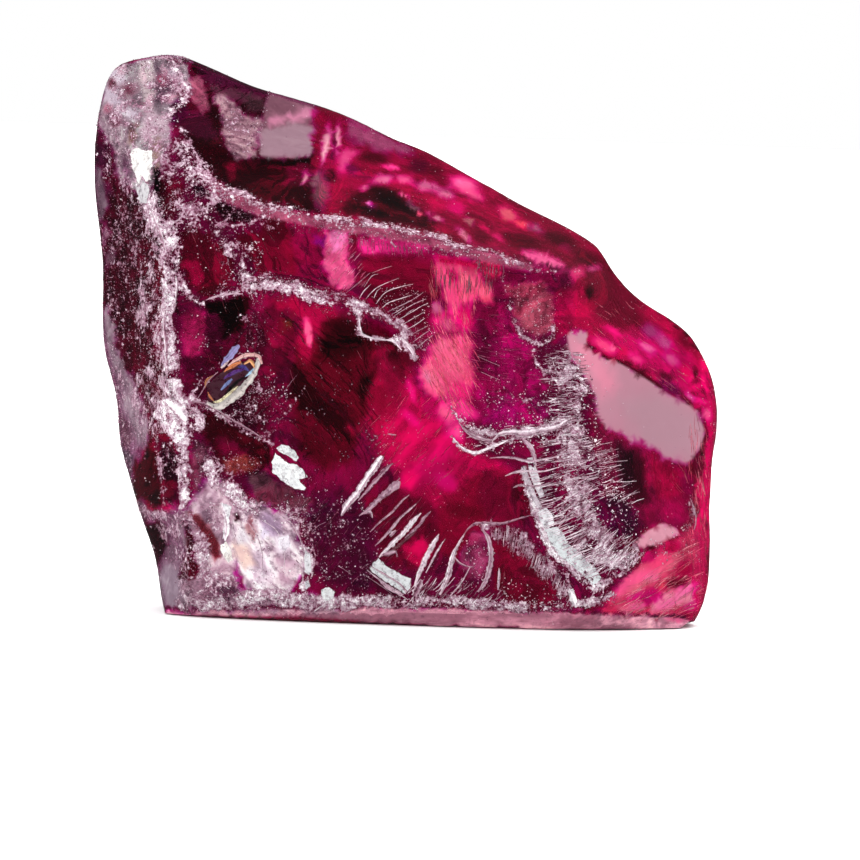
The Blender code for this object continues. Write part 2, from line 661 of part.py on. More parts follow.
def girdle_row(share, widest, front, back, on_base):
    """Points of the girdle at this share of the way from the front sheet to the back sheet."""
    if share < GIRDLE_BULGE_AT:
        inset = (1 - share / GIRDLE_BULGE_AT) ** 2
        edge = front
    else:
        inset = ((share - GIRDLE_BULGE_AT) / (1 - GIRDLE_BULGE_AT)) ** 1.5
        edge = back
    row = []
    for wide, f, b, end, based in zip(widest, front, back, edge, on_base):
        y = f[2] + share * (b[2] - f[2])
        x, z = wide[:2] + inset * (end[:2] - wide[:2])
        if not based:
            lift = GIRDLE_GRAIN * grain(x, y, z, GIRDLE_GRAIN_SIZE, 7.0)
            x, z = Vector((x, z)) + lift * (Vector((x, z)) - Vector((0.0, 5.5))).normalized()
        row.append((x, y, z))
    return row


def stone_mesh():
    widest, front, back, on_base = rim_lines()
    front_points, front_faces = make_sheet(
        front, FRONT_RIDGES, FRONT_SURFACES, FRONT_HACKLES, 1.0, 0.0
    )
    back_points, back_faces = make_sheet(back, BACK_RIDGES, BACK_SURFACES, BACK_HACKLES, -1.0, 3.0)
    bm = bmesh.new()
    front_verts = [bm.verts.new(p) for p in front_points]
    back_verts = [bm.verts.new(p) for p in back_points]
    count = len(widest)
    rows = [front_verts[:count]]
    for share in GIRDLE_ROWS:
        rows.append([bm.verts.new(p) for p in girdle_row(share, widest, front, back, on_base)])
    rows.append(back_verts[:count])
    for face in front_faces:
        bm.faces.new([front_verts[i] for i in face])
    for face in back_faces:
        bm.faces.new([back_verts[i] for i in reversed(face)])
    for upper, lower in zip(rows, rows[1:]):
        for i in range(count):
            j = (i + 1) % count
            bm.faces.new((upper[j], upper[i], lower[i], lower[j]))
    bmesh.ops.recalc_face_normals(bm, faces=bm.faces)
    bmesh.ops.triangulate(bm, faces=[f for f in bm.faces if len(f.verts) > 3])
    return bm


def centre_on_base(bm):
    """Put the origin at the middle of the stone's box, on the base, and turn millimetres to metres."""
    xs = [v.co.x for v in bm.verts]
    ys = [v.co.y for v in bm.verts]
    middle = Vector(((min(xs) + max(xs)) / 2, (min(ys) + max(ys)) / 2, 0.0))
    for v in bm.verts:
        v.co = (v.co - middle) * MM


def garnet_material():
    material = bpy.data.materials.new("garnet")
    material.use_nodes = True
    shader = material.node_tree.nodes["Principled BSDF"]
    shader.inputs["Base Color"].default_value = (0.42, 0.012, 0.08, 1.0)
    shader.inputs["Metallic"].default_value = 0.0
    shader.inputs["Roughness"].default_value = 0.06
    shader.inputs["IOR"].default_value = 1.76
    shader.inputs["Transmission Weight"].default_value = 0.8
    return material


def make_crystal():
    bm = stone_mesh()
    centre_on_base(bm)
    mesh = bpy.data.meshes.new("garnet_crystal")
    bm.to_mesh(mesh)
    bm.free()
    mesh.materials.append(garnet_material())
    mesh.shade_smooth()
    mesh.set_sharp_from_angle(angle=math.radians(28))
    crystal = bpy.data.objects.new("garnet_crystal", mesh)
    bpy.context.scene.collection.objects.link(crystal)
    return crystal


start_clean()
make_crystal()
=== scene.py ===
"""The looks of the rough garnet crystal: clear raspberry-red stone with frosted, chipped ridges.

Lengths are in the stone's own millimetres unless a comment says otherwise: x to the right, y away, z up.
Places in the tables of the front are pixels of the 860 x 860 photograph; the camera here is its camera,
so a place there is a line of sight, and what it names lies where that line meets the stone.
In the tables of the sides and the back the same camera has walked round the stone, by the turn in degrees
that a row starts with or that a group is named by.
Colours are as screens show them, 0 to 255, unless a comment says otherwise.
"""

import math
import random

import bmesh
import bpy
import numpy as np
from mathutils import Matrix, Vector, kdtree, noise
from mathutils.bvhtree import BVHTree


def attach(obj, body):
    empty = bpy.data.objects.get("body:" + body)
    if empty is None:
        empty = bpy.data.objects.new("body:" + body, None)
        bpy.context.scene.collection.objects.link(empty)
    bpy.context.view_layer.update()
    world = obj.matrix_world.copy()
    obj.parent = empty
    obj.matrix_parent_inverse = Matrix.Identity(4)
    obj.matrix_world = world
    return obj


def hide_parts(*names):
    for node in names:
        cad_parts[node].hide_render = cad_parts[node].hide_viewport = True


MM = 0.001
STONE_ORIGIN = np.array((0.287, -0.459, 0.0))  # where the stone's millimetres start in the row

CAMERA_ELEVATION = 2.4  # degrees
CAMERA_ROLL = 1.92  # degrees
CAMERA_DISTANCE = 165.0
CAMERA_AIM = np.array((0.29, -1.0, 3.79))
CAMERA_CLIP = (0.01, 10)  # metres
SENSOR_WIDTH = 36
PICTURE_SIDE = 860  # pixels
PIXELS_PER_MM = 50.0

# The stone's finer copy: degrees past which an edge is a ridge, how crisp it stays, and how smooth the rest is
RIDGE_ANGLE = 24.0
RIDGE_CREASE = 0.9
RIDGE_POINTS = (0.0, 0.25, 0.5, 0.75)  # where along an edge, for the frost of the hidden ridges
WORN_ANGLES = (20, 60)  # degrees: the frost of a ridge grows with its angle
WELD = 1e-7  # metres
LEVELS = 2
SMOOTH_ANGLE = 35  # degrees
TINY = 1e-9

# Wavering numbers: reach, size in mm and seed; or size in mm and a seed for each direction; or all of these
SWAY = (0.45, (3.0, 9.0))
FINE = (0.14, (5.0, 1.0))
EDGE_ON_WAVES = ((16.0, 0.9, 70.0), (7.0, 0.3, 71.0))
RELIEF_WAVES = ((0.4, 0.16, 31.0), (0.6, 0.07, 17.0))
RIPPLE_WAVE = (0.8, 0.5, 60.0)
FROST_WAVE = (1.0, 0.33, 40.0)
WORN_WAVE = (1.0, 1.1, 50.0)
SPECK_WAVE = (1.0, 1.3, 8.0)
SHARD_WAVERS = ((0.5, 1.3, (0, 7, 13)), (0.10, 0.22, (1, 8, 14)))
SHARD_SLANT = 0.5
CELL_HASH = (12.9898, 78.233, 37.719)  # turns a shard's cell into a number of its own
# Pixels that painted edges waver by, in SWAY and in FINE
ZONE_WAVER = (5.0, 4.5)
SIDE_WAVER = (5.0, 3.0)
SPOT_WAVER = (1.6, 1.6)
FROST_WAVER = (2.2, 1.5)
HOLE_WAVER = (0.0, 1.5)
CRISP_WAVER = (0.0, 0.8)
CRISP = 1.6  # pixels: a zone with a softer edge than this wavers more

# Tints: red, green and blue of what the stone leaves of the light, 0 to 1
CLEAR_FILTER = (0.50, 0.045, 0.18)  # what the rest of the stone leaves of the light behind it
CLEAR_POWER = 1.7
CLEAR_MOST = np.array((1.0, 0.35, 0.5))  # as shares of the red
CLOUD_GAIN = 0.82
LEAST_TINT = 0.0008
LEAST_BLUE = 0.10  # as a share of the red
LEAST_LOG_TINT = -9
VEIL = np.array((0.004, 0.010, 0.004))  # light that every face mirrors towards the camera
PLAIN_MOTTLING = 0.35
CLOUD_LEAST = 0.2
# Spots of painted light are laid cloudier the lighter their red, so that their painted colour shows
SPOT_CLOUD_SPAN = (0.25, 0.75)
SPOT_CLOUD = 0.75
SPOT_MOTTLING = 0.3  # how much of the mottling stays under a spot
# From where an edge fades to where it is whole, in shares of the width
SPOT_EDGE = (1.25, 0.35)
SPOT_MARGIN = 1.3
STROKE_EDGE = (0.75, 0.25)
FROST_EDGE = (0.72, 0.30)
HOLE_EDGE = (-1.5, 1.5)  # pixels
HOLE_MARGIN = 4  # pixels
LINE_STEP = 5  # pixels between the points of a painted line
# How squarely a face looks at the camera: from not at all to in full
FACING_SPAN = (-0.40, -0.10)
EDGE_ON_SPAN = (0.12, 0.45)
EDGE_ON_SHARDS = 0.15  # how much of the shards shows on the faces that the camera sees nearly edge on
FRONT = 0.99  # as squarely as this, only the front's own frost shows

# The frost of the hidden ridges: its width at a right-angled ridge, its least width, and how far it wavers
BACK_FROST_WIDTH = 0.32
BACK_FROST_LEAST = 0.02
BACK_FROST_SHIFT = 0.05
# How worn a ridge is by WORN_WAVE, and how its width wavers with SWAY and FINE
WORN_BASE, WORN_GAIN, WORN_RANGE = 0.35, 1.3, (0.12, 1.2)
WIDTH_SWAY, WIDTH_FINE = 0.7, 0.5
# The strong edge of that frost and the faint halo about it
EDGE_FADE, EDGE_BASE, EDGE_GAIN, EDGE_SPAN = (1.0, 0.2), 0.5, 0.35, (-0.2, 0.4)
HALO, HALO_WIDTH, HALO_LEAST, HALO_FADE = 0.30, 3.5, 0.05, (1.0, 0.1)
# How uneven the frost of the front is by FROST_WAVE, and how high its relief stands
FROST_BASE, FROST_GAIN, FROST_SPAN = 0.55, 0.55, (-0.5, 0.4)
FROST_RELIEF = 0.024
RIPPLE_FADE = 15  # pixels, and degrees

# Splinters, chips, specks and crumbs
BLADE_HEIGHT = 0.022
SUNK = 0.010  # how deep their rims lie in the stone
RIBBON_LEAST = 0.3  # pixels
RIBBON_LIFT = (0.8, 1.2)
# A splinter's ring above the stone: share of its half width, and share of its height
RIBBON_RING = ((0.62, 0.7), (0.3, 0.9), (0.0, 1.0), (-0.3, 0.85), (-0.62, 0.6))
THIN_RING = ((0.0, 1.0),)
# A chip's rings: share of its outline, and height before the chip's own share
CHIP_RINGS = ((1.0, -SUNK), (0.92, 0.010), (0.75, 0.020), (0.5, 0.014), (0.25, 0.024))
CHIP_TOP = 0.025
CHIP_STEP = 2.0  # pixels
# Each kind of chip's share of that height, and how ragged it is in pixels
CHIP_HEIGHT, CHIP_RAGGED = 0.5, 0.35
FACET_HEIGHT, FACET_RAGGED = 0.15, 0.15
SIDE_CHIP_HEIGHT, LENS_HEIGHT = 0.7, 0.3
# Cuts of splinters: height as a share, raggedness as a share of the width, pixels between points, and ring
BLADE_CUT = (1.0, 0.28, 2.1, RIBBON_RING)
LINE_CUT = (0.6, 0.4, 2.1, RIBBON_RING)
SIDE_LINE_CUT = (0.8, 0.5, 2.1, RIBBON_RING)
LENS_CUT = (0.8, 0.25, 2.1, RIBBON_RING)
RUNG_CUT = (0.7, 0.5, 2.0, RIBBON_RING)
WEB_CUT = (0.45, 0.3, 3.0, RIBBON_RING)
FAN_CUT = (0.6, 0.4, 2.5, RIBBON_RING)
STREAK_CUT = (0.3, 0.3, 4.0, THIN_RING)
# Ribs of webs and streaks: scatter in degrees, bow, thickness, and pixels of width at the ends
WEB_RIB = (9, 0.12, (0.5, 1.1), 0.5)
STREAK_RIB = (7, 0.10, (0.4, 1.3), 0.4)
WEB_SHADES = (0.1, 0.95)
# Rungs of a ladder: where they start and end between its two lines, and how they differ
RUNG_SCATTER, RUNG_START, RUNG_END, RUNG_BEND = 0.4, (-0.05, 0.3), (0.55, 1.05), 1.3
RUNG_THICKNESS, RUNG_NEAR_END, RUNG_FAR_END, RUNG_SHADES = (0.5, 1.4), 0.5, 0.35, 0.2
FAN_BOW, FAN_THICKNESS, FAN_END, FAN_SHADES = 0.10, (0.5, 1.2), 0.5, (0.3, 1.2)
STRIPES = (-0.5, 0.15)  # how much darker or lighter the stripes along a splinter are
RIBBON_UNEVEN, CHIP_UNEVEN = 0.07, 0.06
CHIP_GAIN = 1.05
CHIP_CLEARNESS = 0.3
# Splinter tones from wine to white: red, green, blue and how clear
SHADE_STEPS = (0.0, 0.4, 0.7, 1.0)
SHADE_TONES = (
    (0.14, 0.006, 0.040, 0.5), (0.38, 0.16, 0.25, 0.3), (0.68, 0.55, 0.62, 0.15), (0.96, 0.92, 0.95, 0.05),
)
# A crumb's three feet and its tip, in shares of its size, and how unevenly its feet are turned
CRUMB_RIM, CRUMB_SKEW, CRUMB_TIP, CRUMB_RISE, CRUMB_SUNK = (0.5, 1.2), 0.4, 0.6, (0.35, 0.9), 0.35
# How many sprinkled specks lie close to the last one, how close in pixels, and how their shades differ
SPRINKLE_CLUSTER, SPRINKLE_REACH, SPRINKLE_SHADES = 0.5, 3, (0.3, 1.3)
# The seeds of each kind of fragment
HACKLE_SEED, STREAK_SEED, SPECK_SEED, CRUMB_SEED, CRUMB_PLACE_SEED = 11, 15, 14, 12, 5
CRUMBS = 34000
CRUMB_FLOOR = 0.03  # no crumb lies lower
CRUMB_POWER = 1.3  # how much more often crumbs lie where the frost is strong
CRUMB_JITTER = 0.035
CRUMB_SIZES = (0.008, 0.030)  # least, and more by chance
CRUMB_SIZE_BETA = (1.2, 2.6)
CRUMB_SHADE_BETA = (0.7, 0.75)
CRUMB_SHADES = (0.4, 0.8)  # least, and more with the frost
SPECKS = 4500
SPECK_SPAN, SPECK_LEAST = (-0.3, 0.6), 0.1
SPECK_SIZES = (0.006, 0.022)
SPECK_SHADES = (0.1, 0.8)

# Noises: scale, detail, roughness and distortion; the first two follow the flow, the others are per metre
BROAD_NOISE = (1.2, 4.0, 0.6, 1.0)
FINE_NOISE = (4.0, 3.0, 0.6, 0.6)
GRAIN_NOISE = (15000.0, 2.0, 0.9)
MEDIUM_NOISE = (7000.0, 2.0, 0.7)
COARSE_NOISE = (3000.0, 3.0, 0.6)
BROKEN_NOISE = (9000.0, 3.0, 0.7)
# Where frost lies: shares of the grain, medium and coarse noise, their middle, and the painted frost's share
UNEVEN_PARTS, UNEVEN_MIDDLE, FROST_SHARE = (1.2, 1.0, 1.3), 1.75, 0.95
FROSTED_SPAN, FROST_START = (0.30, 0.62), (0.03, 0.15)
FROST_SOLID = 0.9  # how much of the frost lets no light through
FROST_BUMP = (0.6, 0.00003)  # strength, and metres
STONE_ROUGHNESS = (0.035, 0.5)  # clear, and frosted
# How white the frost is, from wine to white
WHITE_PARTS, WHITE_MIDDLE, WHITE_GAIN = (0.55, 0.45), 0.75, 0.22
WHITE_STOPS = (
    (0.34, (0.09, 0.004, 0.025)), (0.42, (0.24, 0.06, 0.13)), (0.49, (0.44, 0.26, 0.35)),
    (0.56, (0.66, 0.55, 0.61)), (0.63, (0.94, 0.92, 0.94)),
)
# The mottling, painted patches of light and shade like the glows seen through the stone: from where its dark
# and its light patches start, how strong they are, and by what they multiply
PATCHY_PARTS = (0.5, 0.5)
DARK_SPAN, DARK_SHARE, DARK_TINT = (0.54, 0.40), 0.85, (0.12, 0.04, 0.10, 1)
LIGHT_SPAN, LIGHT_SHARE, LIGHT_TINT = (0.50, 0.62), 0.8, (1.9, 2.6, 2.1, 1)
# The sparkle of cloudy stone
SPARKLE_PARTS = (0.4, 0.6)
SPARKLE_STOPS = ((0.36, (0.35, 0.28, 0.33)), (0.48, (0.9, 0.88, 0.9)), (0.62, (1.0, 1.0, 1.0)))
# Broken garnet
BROKEN_STOPS = ((0.32, (0.62, 0.57, 0.60)), (0.58, (1.1, 1.1, 1.1)))
BROKEN_SPAN, BROKEN_ROUGHNESS = (0.3, 0.7), (0.2, 0.5)
BROKEN_BUMP = (0.4, 0.00002)  # strength, and metres
IOR = 1.76
ABSORPTION_COLOUR = (0.89, 0.14, 0.5, 1)
ABSORPTION_DENSITY = 200.0  # per metre
WHITE = (1, 1, 1, 1)
# The studio's light: what the stone's gloss mirrors, what shines through it, and the lamps
MIRRORED_STRENGTH = 0.04
MIRRORED_COLOUR = (1.0, 0.84, 0.90, 1)
SHINING_SPAN = (-0.7, 0.6)  # from the front to the back
SHINING_STRENGTH = (0.5, 2.15)
OVERHEAD_STRENGTH = 3.0
OVERHEAD_SOFTNESS = math.radians(60)
OVERHEAD_TILT = (math.radians(-15), math.radians(10), 0)
# The fill's place, aim, size and radiance, in metres
FILL_PLACE, FILL_AIM, FILL_SIDE, FILL_RADIANCE = (-0.25, -0.45, 0.35), (0, 0, 0.005), 0.3, 7.0
FLOOR_HALF = 1.5  # metres
FLOOR_DROP = 0.00002  # metres
FLOOR_COLOUR, FLOOR_ROUGHNESS, FLOOR_SPECULAR = (0.95, 0.95, 0.95, 1), 0.9, 0.1

# ---------------------------------------------------------------------------------------------------
# What the front shows, as read from the photograph: places in its own pixels, from its top left corner
# ---------------------------------------------------------------------------------------------------
# Zones painted on the front: outline, colour, softness of the edge in pixels, share of cloudy body, mottling.
# Besides the stone's own colour, many zones are painted light and shade: the glows and dark depths that
# refraction shows through the clear stone, a painted shadow under the shelf, and painted reflections of
# soft light on smooth facets.
ZONES = {
    "front": ([(180, 130), (215, 190), (300, 215), (400, 240), (500, 262), (570, 272), (575, 330),
        (600, 400), (610, 440), (600, 500), (625, 545), (640, 590), (600, 612), (180, 612), (170, 400),
        (165, 200)], (118, 10, 52), 8, 0.12, 0.4),
    "scoop": ([(190, 52), (275, 86), (310, 93), (320, 110), (316, 160), (318, 212), (280, 207), (250, 198),
        (232, 187), (210, 175), (200, 164), (194, 155), (182, 134), (186, 104), (189, 70)], (74, 6, 18),
        3, 0.05, 0.3),
    "scoop_top": ([(192, 52), (237, 72), (275, 86), (270, 94), (264, 98), (240, 90), (205, 80), (196, 68)],
        (84, 28, 42), 3, 0.25, 0.5),
    "scoop_top_dark": ([(205, 82), (240, 90), (264, 98), (263, 111), (253, 114), (240, 104), (221, 96)],
        (96, 38, 54), 2, 0.1, 0.2),
    "scoop_pink": ([(190, 80), (200, 73), (204, 84), (210, 104), (212, 112), (200, 109), (189, 96)],
        (150, 66, 90), 2, 0.5, 0.7),
    "scoop_purple": ([(186, 104), (210, 115), (218, 136), (216, 142), (186, 134), (182, 123)], (96, 28, 44),
        2, 0.1, 0.2),
    "scoop_speckled": ([(214, 96), (224, 93), (243, 114), (255, 116), (263, 120), (259, 147), (244, 160),
        (232, 158), (228, 148), (219, 137), (224, 126), (218, 112)], (150, 112, 124), 3, 0.8, 1.0),
    # Painted reflection of soft light on the smooth facet of the scoop: paler below, with a brighter streak
    "scoop_reflection": ([(274, 84), (312, 92), (322, 100), (318, 118), (312, 154), (300, 158), (270, 159),
        (258, 157), (262, 120), (266, 98)], (118, 80, 92), 1.2, 0.85, 0.15),
    "scoop_reflection_low": ([(260, 130), (290, 124), (318, 126), (312, 154), (300, 158), (270, 159),
        (258, 157)], (146, 120, 130), 2.5, 0.85, 0.1),
    "scoop_reflection_streak": ([(266, 118), (290, 112), (318, 110), (318, 118), (290, 121), (268, 126)],
        (182, 116, 142), 3, 0.85, 0.1),
    "scoop_red": ([(227, 163), (236, 162), (240, 181), (230, 180)], (118, 4, 30), 2, 0.1, 0.4),
    "scoop_red_right": ([(282, 166), (306, 160), (318, 170), (310, 186), (286, 186)], (116, 18, 44),
        4, 0.15, 0.5),
    "top_right": ([(316, 92), (350, 106), (420, 138), (500, 178), (560, 212), (600, 240), (604, 262),
        (565, 266), (500, 254), (460, 244), (400, 228), (350, 218), (318, 212), (314, 160)], (146, 22, 50),
        4, 0.3, 0.5),
    "top_right_mauve": ([(345, 118), (380, 130), (415, 146), (412, 158), (380, 152), (350, 140)],
        (150, 48, 92), 5, 0.5, 0.3),
    "top_right_black": ([(352, 196), (372, 186), (396, 192), (410, 205), (430, 218), (420, 230), (390, 226),
        (362, 216), (345, 212)], (98, 0, 20), 5, 0.02, 0.3),
    "top_right_deep": ([(412, 216), (440, 222), (470, 236), (462, 244), (430, 236), (408, 230)],
        (138, 0, 24), 5, 0.05, 0.2),
    "top_right_end": ([(500, 190), (560, 212), (596, 240), (600, 262), (560, 262), (520, 244), (490, 226)],
        (150, 8, 46), 7, 0.3, 0.5),
    "top_right_stripe": ([(519, 247), (543, 252), (556, 258), (568, 266), (551, 268), (538, 263),
        (524, 256)], (250, 112, 150), 1.5, 0.7, 0.3),
    "upper_strip": ([(262, 215), (300, 222), (400, 238), (434, 246), (432, 262), (400, 256), (350, 262),
        (320, 270), (290, 272), (266, 270)], (128, 0, 52), 4, 0.15, 0.5),
    "upper_strip_dark": ([(262, 213), (282, 216), (292, 232), (290, 256), (276, 268), (262, 262)],
        (104, 4, 30), 4, 0.05, 0.3),
    "striated": ([(323, 232), (349, 230), (349, 258), (356, 268), (356, 280), (345, 290), (330, 282),
        (322, 266)], (222, 60, 116), 2, 0.6, 0.5),
    "striated_pale": ([(331, 231), (348, 230), (347, 246), (332, 250)], (226, 110, 170), 2, 0.8, 0.4),
    "violet": ([(313, 236), (326, 238), (325, 247), (315, 246)], (124, 26, 128), 2, 0.5, 0.5),
    "striated_gap": ([(350, 232), (359, 234), (358, 246), (352, 248)], (96, 0, 26), 1.5, 0.1, 0.2),
    "pink_strip": ([(359, 236), (400, 242), (428, 246), (430, 254), (400, 254), (362, 254)], (210, 36, 96),
        3, 0.5, 0.6),
    "dark_fan": ([(364, 258), (400, 257), (432, 262), (436, 290), (434, 330), (424, 340), (412, 330),
        (396, 312), (372, 300), (356, 288)], (120, 6, 42), 4, 0.12, 0.3),
    # The stone's deep colour with painted shade: the dark depths in the middle, where little light comes
    # through
    "dark_middle": ([(312, 322), (340, 312), (368, 322), (400, 350), (416, 362), (404, 372), (380, 384),
        (362, 420), (352, 460), (320, 470), (298, 440), (290, 400), (296, 350)], (78, 0, 20), 8, 0.02, 0.5),
    "black_middle": ([(342, 316), (370, 334), (372, 350), (340, 360), (318, 356), (322, 340)], (44, 2, 16),
        6, 0.02, 0.4),
    "dark_stroke": ([(364, 380), (384, 354), (392, 356), (378, 378), (366, 396), (356, 402)], (30, 0, 10),
        3, 0.02, 0.2),
    # Painted light: glows of light refracted through the stone
    "red_glow": ([(376, 352), (402, 358), (412, 372), (410, 400), (400, 430), (378, 440), (366, 424),
        (372, 390)], (134, 0, 20), 8, 0.15, 0.4),
    "magenta": ([(412, 372), (424, 392), (440, 402), (452, 420), (466, 440), (480, 452), (500, 462),
        (520, 480), (528, 505), (500, 520), (470, 524), (440, 516), (404, 488), (388, 462), (372, 444),
        (384, 424), (402, 400)], (180, 0, 66), 8, 0.3, 0.5),
    "magenta_hot": ([(404, 470), (420, 452), (444, 440), (458, 452), (440, 480), (420, 486)], (206, 0, 76),
        8, 0.35, 0.4),
    "red_low": ([(440, 500), (480, 470), (520, 474), (532, 500), (520, 520), (484, 522), (460, 560),
        (436, 556)], (140, 4, 48), 7, 0.1, 0.3),
    "left_of_lens": ([(180, 316), (192, 306), (207, 310), (208, 326), (205, 342), (206, 351), (184, 356),
        (180, 334)], (156, 30, 66), 4, 0.3, 0.8),
    "lens_surround": ([(208, 316), (236, 328), (252, 318), (282, 300), (300, 310), (296, 350), (284, 390),
        (262, 432), (240, 424), (210, 406), (184, 388), (184, 356), (206, 351)], (92, 6, 40), 4, 0.12, 0.7),
    # Painted shadow under the lip of the shelf
    "shadow_under_shelf": ([(208, 303), (241, 299), (251, 300), (248, 315), (238, 330), (226, 342), (222, 320),
        (208, 310)], (40, 4, 16), 2, 0.02, 0.3),
    "lens_pink": ([(264, 330), (282, 322), (290, 344), (284, 372), (270, 380), (262, 356)], (124, 12, 48),
        8, 0.15, 0.5),
    "lens_olive": ([(278, 318), (290, 316), (292, 332), (280, 334)], (104, 44, 20), 4, 0.2, 0.3),
    "under_step_red": ([(262, 298), (304, 302), (340, 310), (330, 320), (312, 318), (290, 314)],
        (140, 0, 40), 4, 0.15, 0.4),
    "streak_halo": ([(298, 306), (336, 308), (324, 322), (314, 352), (304, 362), (298, 340)], (150, 6, 54),
        6, 0.2, 0.3),
    "streak": ([(303, 318), (310, 320), (313, 336), (311, 349), (306, 342)], (246, 80, 128), 1.2, 0.8, 0.1),
    "pocket_purple": ([(192, 185), (202, 186), (208, 194), (197, 198)], (70, 2, 38), 1.5, 0.1, 0.4),
    "pocket_wide": ([(210, 198), (231, 198), (251, 206), (264, 213), (248, 220), (224, 220), (214, 211)],
        (58, 2, 28), 2, 0.1, 0.6),
    "red_window": ([(178, 232), (192, 228), (206, 232), (220, 244), (234, 262), (228, 284), (208, 296),
        (186, 286), (181, 262)], (104, 4, 24), 2, 0.12, 0.5),
    "red_window_lit": ([(184, 262), (196, 258), (204, 272), (200, 286), (190, 284)], (156, 2, 34),
        3, 0.2, 0.3),
    "right_of_diagonal": ([(240, 236), (262, 230), (292, 248), (300, 262), (296, 274), (262, 274),
        (250, 262)], (116, 0, 30), 4, 0.1, 0.4),
    # Painted light: the brightest glows refracted through the stone
    "painted_glow_upper": ([(434, 254), (454, 257), (478, 264), (482, 280), (494, 292), (490, 302), (476, 299),
        (469, 306), (455, 308), (440, 297), (437, 278)], (232, 56, 104), 6, 0.75, 0.7),
    "painted_glow_link": ([(436, 306), (470, 306), (480, 330), (466, 336), (444, 340), (430, 340), (430, 320)],
        (222, 34, 96), 8, 0.7, 0.8),
    "painted_glow_middle": ([(420, 368), (427, 352), (443, 340), (462, 334), (476, 340), (479, 355), (473, 357),
        (476, 384), (462, 390), (448, 399), (434, 400), (424, 388)], (250, 70, 124), 6, 0.85, 0.5),
    "painted_glow_lower": ([(436, 404), (448, 396), (466, 400), (480, 414), (470, 422), (458, 424), (454, 440),
        (446, 436), (440, 420)], (220, 40, 98), 7, 0.55, 0.5),
    "orange": ([(474, 256), (500, 262), (506, 276), (494, 284), (480, 276)], (208, 34, 26), 3, 0.3, 0.9),
    "painted_glow_drop": ([(480, 290), (492, 290), (496, 304), (490, 316), (484, 308)], (244, 50, 90),
        2, 0.6, 0.4),
    "dark_purple": ([(478, 308), (500, 300), (512, 318), (532, 342), (536, 366), (552, 380), (540, 396),
        (512, 392), (484, 420), (477, 390), (474, 362), (478, 334)], (148, 24, 66), 4, 0.35, 0.9),
    "dark_purple_low": ([(478, 386), (510, 394), (540, 400), (556, 410), (540, 426), (500, 428),
        (482, 422)], (150, 24, 72), 4, 0.25, 0.8),
    "loop": ([(508, 286), (540, 280), (556, 300), (553, 330), (540, 342), (522, 330), (512, 310)],
        (162, 42, 74), 3, 0.3, 0.9),
    "loop_right": ([(558, 290), (585, 276), (590, 330), (572, 330), (556, 344), (552, 330)], (158, 16, 58),
        5, 0.3, 0.6),
    "hackle_gap": ([(484, 468), (514, 480), (524, 492), (532, 512), (520, 520), (490, 520), (476, 500)],
        (118, 2, 44), 4, 0.15, 0.3),
    "hackle_gap_dark": ([(508, 484), (526, 486), (532, 512), (524, 518), (512, 500)], (110, 6, 40),
        3, 0.05, 0.3),
    "foot_dark": ([(496, 538), (512, 546), (530, 560), (546, 574), (556, 590), (558, 604), (520, 606),
        (500, 596), (494, 566)], (134, 6, 46), 3, 0.1, 0.5),
    "low_left_dark": ([(308, 494), (340, 486), (366, 500), (376, 560), (370, 590), (330, 586), (312, 570),
        (310, 540), (302, 516)], (84, 8, 46), 5, 0.25, 0.5),
    "between_blades": ([(366, 500), (392, 484), (430, 500), (440, 530), (430, 560), (412, 574), (384, 560),
        (376, 530)], (118, 6, 44), 4, 0.05, 0.4),
    "between_blades_lit": ([(404, 548), (424, 538), (430, 552), (420, 566), (410, 562)], (190, 0, 62),
        3, 0.2, 0.3),
    "arch_inside": ([(460, 552), (474, 530), (486, 536), (489, 556), (484, 580), (470, 576), (462, 566)],
        (156, 40, 82), 3, 0.2, 0.9),
    "purple_wedge": ([(244, 474), (264, 472), (272, 478), (296, 490), (310, 496), (308, 516), (296, 512),
        (278, 506), (254, 506), (250, 492)], (116, 52, 78), 3, 0.2, 0.8),
    # Painted reflection of soft light on the smooth facet at the right: rose at its upper left, grey at its
    # right
    "facet": ([(566, 336), (573, 329), (586, 331), (590, 344), (606, 356), (629, 368), (654, 382),
        (676, 397), (696, 409), (704, 426), (705, 434), (696, 456), (686, 466), (667, 461), (646, 451),
        (626, 445), (613, 436), (604, 428), (596, 413), (594, 394), (584, 376), (572, 360)],
        (178, 132, 146), 1.2, 0.75, 0.0),
    "facet_reflection_rose": ([(570, 340), (588, 345), (610, 362), (618, 384), (604, 400), (592, 380), (576, 358)],
        (206, 132, 152), 9, 0.78, 0.0),
    "facet_reflection_grey": ([(620, 400), (660, 392), (700, 418), (692, 458), (640, 446)], (172, 140, 150),
        12, 0.75, 0.0),
    "right_upper": ([(575, 268), (604, 262), (625, 285), (660, 312), (690, 336), (712, 372), (720, 410),
        (697, 408), (676, 397), (654, 382), (629, 368), (606, 356), (590, 344), (586, 331), (572, 329)],
        (170, 14, 56), 1.8, 0.35, 0.4),
    "right_upper_red": ([(579, 268), (604, 262), (640, 300), (646, 330), (620, 334), (600, 318),
        (588, 300)], (132, 0, 32), 9, 0.15, 0.2),
    "right_upper_pink": ([(592, 334), (620, 336), (640, 330), (664, 334), (690, 352), (700, 372),
        (694, 396), (676, 392), (654, 378), (630, 364), (606, 350)], (178, 22, 72), 6, 0.45, 0.4),
    "right_upper_hot": ([(690, 370), (708, 372), (712, 392), (706, 410), (694, 404), (688, 388)],
        (216, 4, 58), 3, 0.4, 0.8),
    "right_field": ([(604, 430), (640, 446), (690, 470), (694, 500), (688, 540), (640, 545), (612, 500),
        (600, 460)], (136, 0, 48), 5, 0.3, 0.3),
    "under_facet": ([(596, 413), (604, 428), (613, 436), (626, 445), (646, 451), (667, 461), (686, 466),
        (694, 480), (690, 520), (678, 528), (660, 522), (646, 530), (630, 504), (612, 490), (600, 470),
